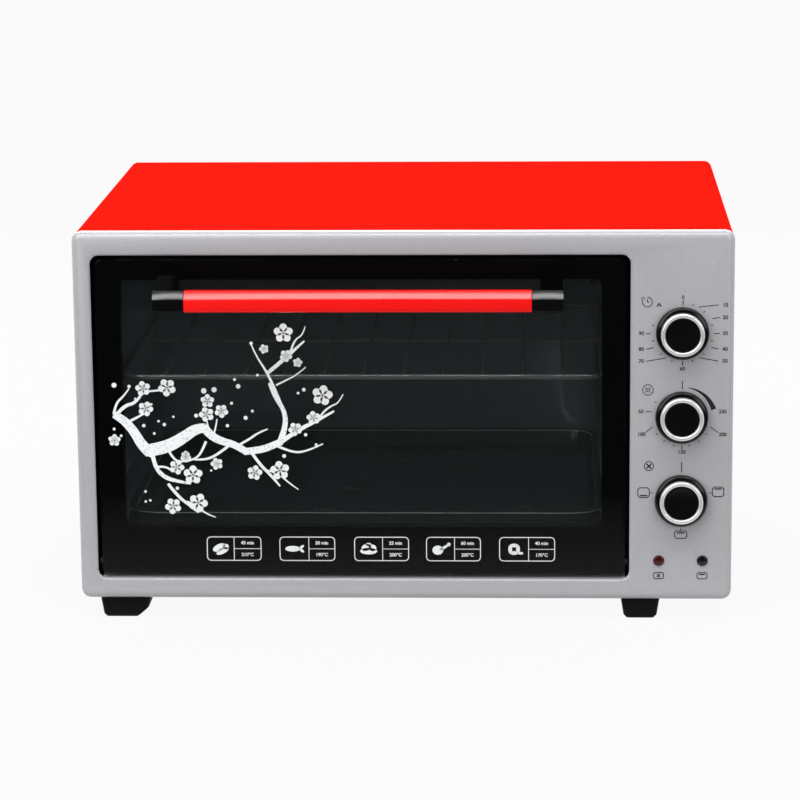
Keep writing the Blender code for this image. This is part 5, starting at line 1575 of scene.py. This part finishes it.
@dataclass
class Shelves:
    """The chromed rack and the enamelled tray."""

    rail: float = 2.5 * MM  # radius of the rack's outer wire
    thin: float = 1.5 * MM  # radius of its other wires
    corner: float = 12.0 * MM
    wires: int = 11
    tray_edge: float = 0.3 * MM
    highlight_drop: float = 1.05 * MM  # how far down the tray's rim the painted highlight reaches
    rim_slope: float = 0.9  # a face that looks up more than this gets no painted highlight

    def build(self) -> None:
        """Builds both shelves."""
        self._rack()
        self._tray()

    def _rack(self) -> None:
        """Bends and joins the rack's wires."""
        low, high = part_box("wire_rack")
        level = (low[2] + high[2]) / 2
        rect = Rect(low[0], low[1], high[0], high[1]).grown(-self.rail)
        path = [(across, along, level) for across, along in rect.rounded(self.corner, 6)]
        rack = Piece("chromed_rack")
        rack.wire(path, self.rail, DULL_CHROME, closed=True, steps=5)
        pitch = (rect.right - rect.left) / (self.wires + 1)
        for number in range(self.wires):
            across = rect.left + pitch * (number + 1)
            start, end = (across, rect.low, level), (across, rect.high, level)
            rack.rod(start, end, self.thin, DULL_CHROME, 16)
        along = rect.middle[1]
        brace = level - self.rail + self.thin
        rack.rod((rect.left, along, brace), (rect.right, along, brace), self.thin, DULL_CHROME, 16)
        rack.done("rack", "wire_rack")

    def _tray(self) -> None:
        """Finishes the tray, with a painted highlight on its rim."""
        tray = Piece("enamelled_tray")
        tray.copy("baking_tray", TRAY_ENAMEL, edge=self.tray_edge, turn=50.0, sharp=60.0)
        tray.finishes.append(RIM_HIGHLIGHT_PAINT)
        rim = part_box("baking_tray")[1][2] - self.highlight_drop
        # Rim faces that don't look straight up get the painted highlight
        for face in tray.mesh.faces:
            at_rim = all(corner.co.z > rim for corner in face.verts)
            if at_rim and face.normal.z < self.rim_slope:
                face.material_index = tray.finishes.index(RIM_HIGHLIGHT_PAINT)
        tray.done("tray", "baking_tray")


@dataclass
class Knob:
    """One of the three knobs, with what it turns.

    Attributes:
        name: The name of the body that it is.
    """

    name: str
    undercut: float = 0.4 * MM  # how much narrower the skirt's back is
    ring_round: float = 1.7 * MM
    ring_slim: float = 0.5 * MM  # how much narrower the ring is than the solid one
    ring_gap: float = 0.3 * MM
    dish: float = 0.9 * MM

    def build(self) -> None:
        """Builds the knob's skirt, bright ring and cap."""
        radius, tall = self._size("knob")
        seat = tall * SKIRT[-1][1]
        skirt = smoothed([(radius * out, tall * up) for out, up in SKIRT])
        back = radius - self.undercut
        self._turn("skirt", "knob", [(back, 0.0), *skirt, (0.0, seat)], GLOSS_BLACK)
        self._ring()
        self._cap()
        dress(f"{self.name}_spindle", STEEL)

    def _size(self, part: str) -> Point:
        """Returns radius and height of one of the knob's solids."""
        low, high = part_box(f"{self.name}_{part}")
        return (high[0] - low[0]) / 2, high[1] - low[1]

    def _turn(
        self, name: str, part: str, profile: Sequence[Point], finish: Finish, closed: bool = False
    ) -> None:
        """Turns a piece about the knob's axis.

        Args:
            name: The piece's name after the knob's.
            part: The name of the solid that it stands for, after the knob's.
            profile: Radius and height of its points, without the first one on the axis.
            finish: What it is made of.
            closed: Whether it is a ring.
        """
        node = f"{self.name}_{part}"
        across, up = Rect.of_node(f"{self.name}_knob").middle
        piece = Piece(f"{self.name}_{name}")
        piece.turned(
            profile if closed else [(0.0, 0.0), *profile], (across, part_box(node)[1][1], up),
            (0, -1, 0), finish, closed=closed, steps=KNOB_STEPS,
        )
        piece.done(self.name, node)

    def _ring(self) -> None:
        """Builds the chromed ring, with a rounded crown."""
        radius, tall = self._size("knob_ring")
        outer = radius - self.ring_slim
        axis = Rect.of_node(f"{self.name}_knob").middle[0]
        bore = Rect.of_node(f"{self.name}_knob_cap").right - axis + self.ring_gap
        half = (outer - bore) / 2
        turns = [math.pi * step / CROWN_STEPS for step in range(CROWN_STEPS + 1)]
        crown = [
            (
                bore + half + half * math.cos(turn),
                tall - self.ring_round + self.ring_round * math.sin(turn),
            )
            for turn in turns
        ]
        profile = [(outer, 0.0), *crown, (bore, 0.0)]
        self._turn("bright_ring", "knob_ring", profile, CHROME, closed=True)

    def _cap(self) -> None:
        """Builds the black cap, slightly dished."""
        radius, tall = self._size("knob_cap")
        rim = [(radius - inwards, tall - down) for inwards, down in CAP_RIM]
        slope = (radius * DISH_SHARE, tall - self.dish * DISH_SHARE)
        top = smoothed([(radius, tall - self.dish), *rim, slope, (0.0, tall - self.dish)])
        self._turn("cap", "knob_cap", [(radius, 0.0), *top], GLOSS_BLACK)


# The skirt's section as shares of radius and height
SKIRT = ((1.0, 0.0), (1.0, 0.34), (0.985, 0.55), (0.95, 0.7), (0.86, 0.8))
# The cap's rim, inwards and down, and the share of its radius and hollow at the slope's middle
CAP_RIM = ((0.5 * MM, 0.1 * MM), (1.2 * MM, 0.0))
DISH_SHARE = 0.6
# Fineness of a knob and of its ring's crown
KNOB_STEPS = 96
CROWN_STEPS = 16


@dataclass
class Controls:
    """The three knobs, the parts behind the face and the two lamps."""

    rim: float = 0.5 * MM  # height of a lens's straight rim
    neck_share: float = 0.85  # width of a lens behind the face, as a share of its own

    def build(self) -> None:
        """Builds the controls."""
        for name in ("timer", "temperature", "function"):
            Knob(name).build()
        dress("timer_unit", GALVANISED)
        dress("thermostat_unit", GALVANISED)
        dress("function_switch", PHENOLIC)
        dress("thermostat_bulb", COPPER)
        for side, finish in (("left", RED_LENS), ("right", DARK_LENS)):
            dress(f"indicator_holder_{side}", WHITE_MOULDING)
            self._lens(side, finish)

    def _lens(self, side: str, finish: Finish) -> None:
        """Builds a lamp's domed lens.

        Args:
            side: Which lamp.
            finish: What it is made of.
        """
        node = f"indicator_lens_{side}"
        low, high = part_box(node)
        across, up = Rect.of_node(node).middle
        radius = (high[0] - low[0]) / 2
        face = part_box("front_frame")[0][1]
        foot = (across, face - TOUCH, up)
        dome = face - TOUCH - low[1] - self.rim
        turns = [math.radians(15 * step) for step in range(7)]
        top = [(radius * math.cos(turn), self.rim + dome * math.sin(turn)) for turn in turns]
        lens = Piece(f"lens_{side}")
        lens.turned([(0.0, 0.0), (radius, 0.0), *top], foot, (0, -1, 0), finish, steps=48)
        lens.rod((across, face, up), (across, high[1], up), radius * self.neck_share, finish, 32)
        lens.done("oven", node)


@dataclass
class Studio:
    """The floor, the lights and the camera.

    Attributes:
        place: Where the camera stands.
        pitch: How far it looks down, in degrees.
        yaw: How far it is turned to its left, in degrees.
        roll: How far it leans, in degrees.
        lens: Focal length, in millimetres.
        sensor: Width of the camera's sensor, in millimetres.
        floor_half: Half the floor's width.
        world_strength: Strength of the world's light on the oven.
        room_strength: Strength of the dim room in reflections; 1 is white.
        floor_share: How much of the floor's look is plain white.
        floor_colour: Colour of the part of it that takes shadows.
        floor_roughness: How dull that part is.
        dim_start: Where the floor starts to be dim in reflections, in y.
        dim_reach: How far it takes to be as dim as the room.
        room_back: The world's y below which reflections see the dim room.
        room_side: The world's y above which they see white.
    """

    place: Point3 = (0.1249, -3.0017, 0.8122)
    pitch: float = 12.34
    yaw: float = 2.60
    roll: float = -0.54
    lens: float = 149.7
    sensor: float = 36.0
    floor_half: float = 6.0
    world_strength: float = 0.55
    room_strength: float = 0.08
    floor_share: float = 0.93
    floor_colour: str = "A8A8A8"
    floor_roughness: float = 0.9
    dim_start: float = -0.25
    dim_reach: float = 0.25
    room_back: float = -0.5
    room_side: float = 0.1

    def build(self) -> None:
        """Builds the studio."""
        bpy.context.scene.view_settings.view_transform = "Standard"
        self._floor()
        self._world()
        for lamp in LAMPS:
            lamp.build()
        self._camera()

    def _camera(self) -> None:
        """Sets the camera at the photograph's viewing angle."""
        pitch, yaw, roll = (math.radians(angle) for angle in (self.pitch, self.yaw, self.roll))
        ahead = Vector((
            -math.sin(yaw) * math.cos(pitch), math.cos(yaw) * math.cos(pitch), -math.sin(pitch)
        ))
        level = Vector((math.cos(yaw), math.sin(yaw), 0.0))
        upright = level.cross(ahead)
        right = level * math.cos(roll) + upright * math.sin(roll)
        above = upright * math.cos(roll) - level * math.sin(roll)
        data = bpy.data.cameras.new("camera")
        data.lens = self.lens
        data.sensor_width = self.sensor
        camera = put("camera", data)
        turn = Matrix((right, above, -ahead)).transposed()
        camera.matrix_world = Matrix.Translation(self.place) @ turn.to_4x4()
        bpy.context.scene.camera = camera

    def _dim(self, tree: Tree, kind: str, low: float, high: float) -> Socket:
        """Adds a strength that grows with y, from the dim room's to white.

        Args:
            tree: The tree that gets the nodes.
            kind: The kind of coordinates.
            low: Where the strength is the dim room's.
            high: Where it is 1.

        Returns:
            The output with the strength.
        """
        source = add_node(tree, "TexCoord").outputs[kind]
        place = add_node(tree, "SeparateXYZ", {}, {"Vector": source})
        ends = {"From Min": low, "From Max": high, "To Min": self.room_strength, "To Max": 1.0}
        return add_node(tree, "MapRange", ends, {"Value": place.outputs["Y"]}).outputs["Result"]

    def _seen(self, tree: Tree, path: bpy.types.Node) -> Socket:
        """Adds a switch that is 1 for what the camera sees, also through glass.

        Args:
            tree: The tree that gets the node.
            path: The tree's light path.

        Returns:
            The switch's output.
        """
        return add_node(tree, "Math", {"operation": "MAXIMUM"}, {
            0: path.outputs["Is Camera Ray"], 1: path.outputs["Is Transmission Ray"],
        }).outputs[0]

    def _floor(self) -> None:
        """Lays the white floor: it keeps a faint shadow, and reflections see it dim in front."""
        part = bmesh.new()
        bmesh.ops.create_grid(part, x_segments=1, y_segments=1, size=self.floor_half)
        data = bpy.data.meshes.new("floor")
        part.to_mesh(data)
        part.free()
        floor = put("floor", data)
        material = bpy.data.materials.new("white sweep")
        material.use_nodes = True
        tree = material.node_tree
        shader = tree.nodes["Principled BSDF"]
        shader.inputs["Base Color"].default_value = colour_of(self.floor_colour)
        shader.inputs["Roughness"].default_value = self.floor_roughness
        path = add_node(tree, "LightPath")
        mirrored = path.outputs["Is Glossy Ray"]
        fall = self._dim(tree, "Object", self.dim_start - self.dim_reach, self.dim_start)
        bright = add_node(tree, "Mix", {2: 1.0}, {0: mirrored, 3: fall})
        glow = add_node(tree, "Emission", {}, {"Strength": bright.outputs[0]})
        share = add_node(
            tree, "Math", {"operation": "MULTIPLY_ADD", 1: self.floor_share},
            {0: self._seen(tree, path), 2: mirrored},
        )
        mix = add_node(
            tree, "MixShader", {},
            {0: share.outputs[0], 1: shader.outputs["BSDF"], 2: glow.outputs["Emission"]},
        )
        tree.links.new(mix.outputs["Shader"], tree.nodes["Material Output"].inputs["Surface"])
        data.materials.append(material)

    def _world(self) -> None:
        """Sets the world: white, with a dim room behind the camera in reflections."""
        world = bpy.data.worlds.new("studio")
        bpy.context.scene.world = world
        world.use_nodes = True
        tree = world.node_tree
        path = add_node(tree, "LightPath")
        room = self._dim(tree, "Generated", self.room_back, self.room_side)
        glossy = add_node(
            tree, "Mix", {2: self.world_strength},
            {0: path.outputs["Is Glossy Ray"], 3: room},
        )
        strength = add_node(
            tree, "Mix", {3: 1.0}, {0: self._seen(tree, path), 2: glossy.outputs[0]}
        )
        tree.links.new(strength.outputs[0], tree.nodes["Background"].inputs["Strength"])
        tree.nodes["Background"].inputs["Color"].default_value = (1.0, 1.0, 1.0, 1.0)


@dataclass(frozen=True)
class Lamp:
    """A soft area lamp.

    Attributes:
        name: Its name.
        place: Where it stands.
        target: What it points at.
        size: Width and height.
        power: Its power in watts.
    """

    name: str
    place: Point3
    target: Point3
    size: Point
    power: float

    def build(self) -> None:
        """Builds the lamp."""
        data = bpy.data.lights.new(self.name, "AREA")
        data.shape = "RECTANGLE"
        data.size, data.size_y = self.size
        data.energy = self.power
        lamp = put(self.name, data)
        way = Vector(self.target) - Vector(self.place)
        turn = way.to_track_quat("-Z", "Y").to_matrix().to_4x4()
        lamp.matrix_world = Matrix.Translation(self.place) @ turn


LAMPS = (
    Lamp("key", (-1.6, -2.2, 1.6), (0.0, 0.0, 0.15), (1.6, 2.8), 38.0),
    Lamp("fill", (2.0, -2.4, 1.0), (0.0, 0.0, 0.2), (1.2, 1.6), 14.0),
    Lamp("back", (0.0, 1.4, 1.5), (0.0, -0.1, 0.33), (2.8, 0.8), 38.0),
    Lamp("strip", (0.0, -0.95, 2.0), (0.0, -0.2, 0.3), (2.6, 0.3), 30.0),
)
# The sub-assemblies, in the order in which they are built
ASSEMBLIES = (FrontFace, Casing, Cavity, Door, Handle, Shelves, Controls, Studio)


def main() -> None:
    """Builds the oven and its studio, in order."""
    logging.basicConfig(level=logging.INFO, format="%(message)s")
    FRAME.update(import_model())
    for assembly in ASSEMBLIES:
        assembly().build()


if __name__ == "__main__":
    main()
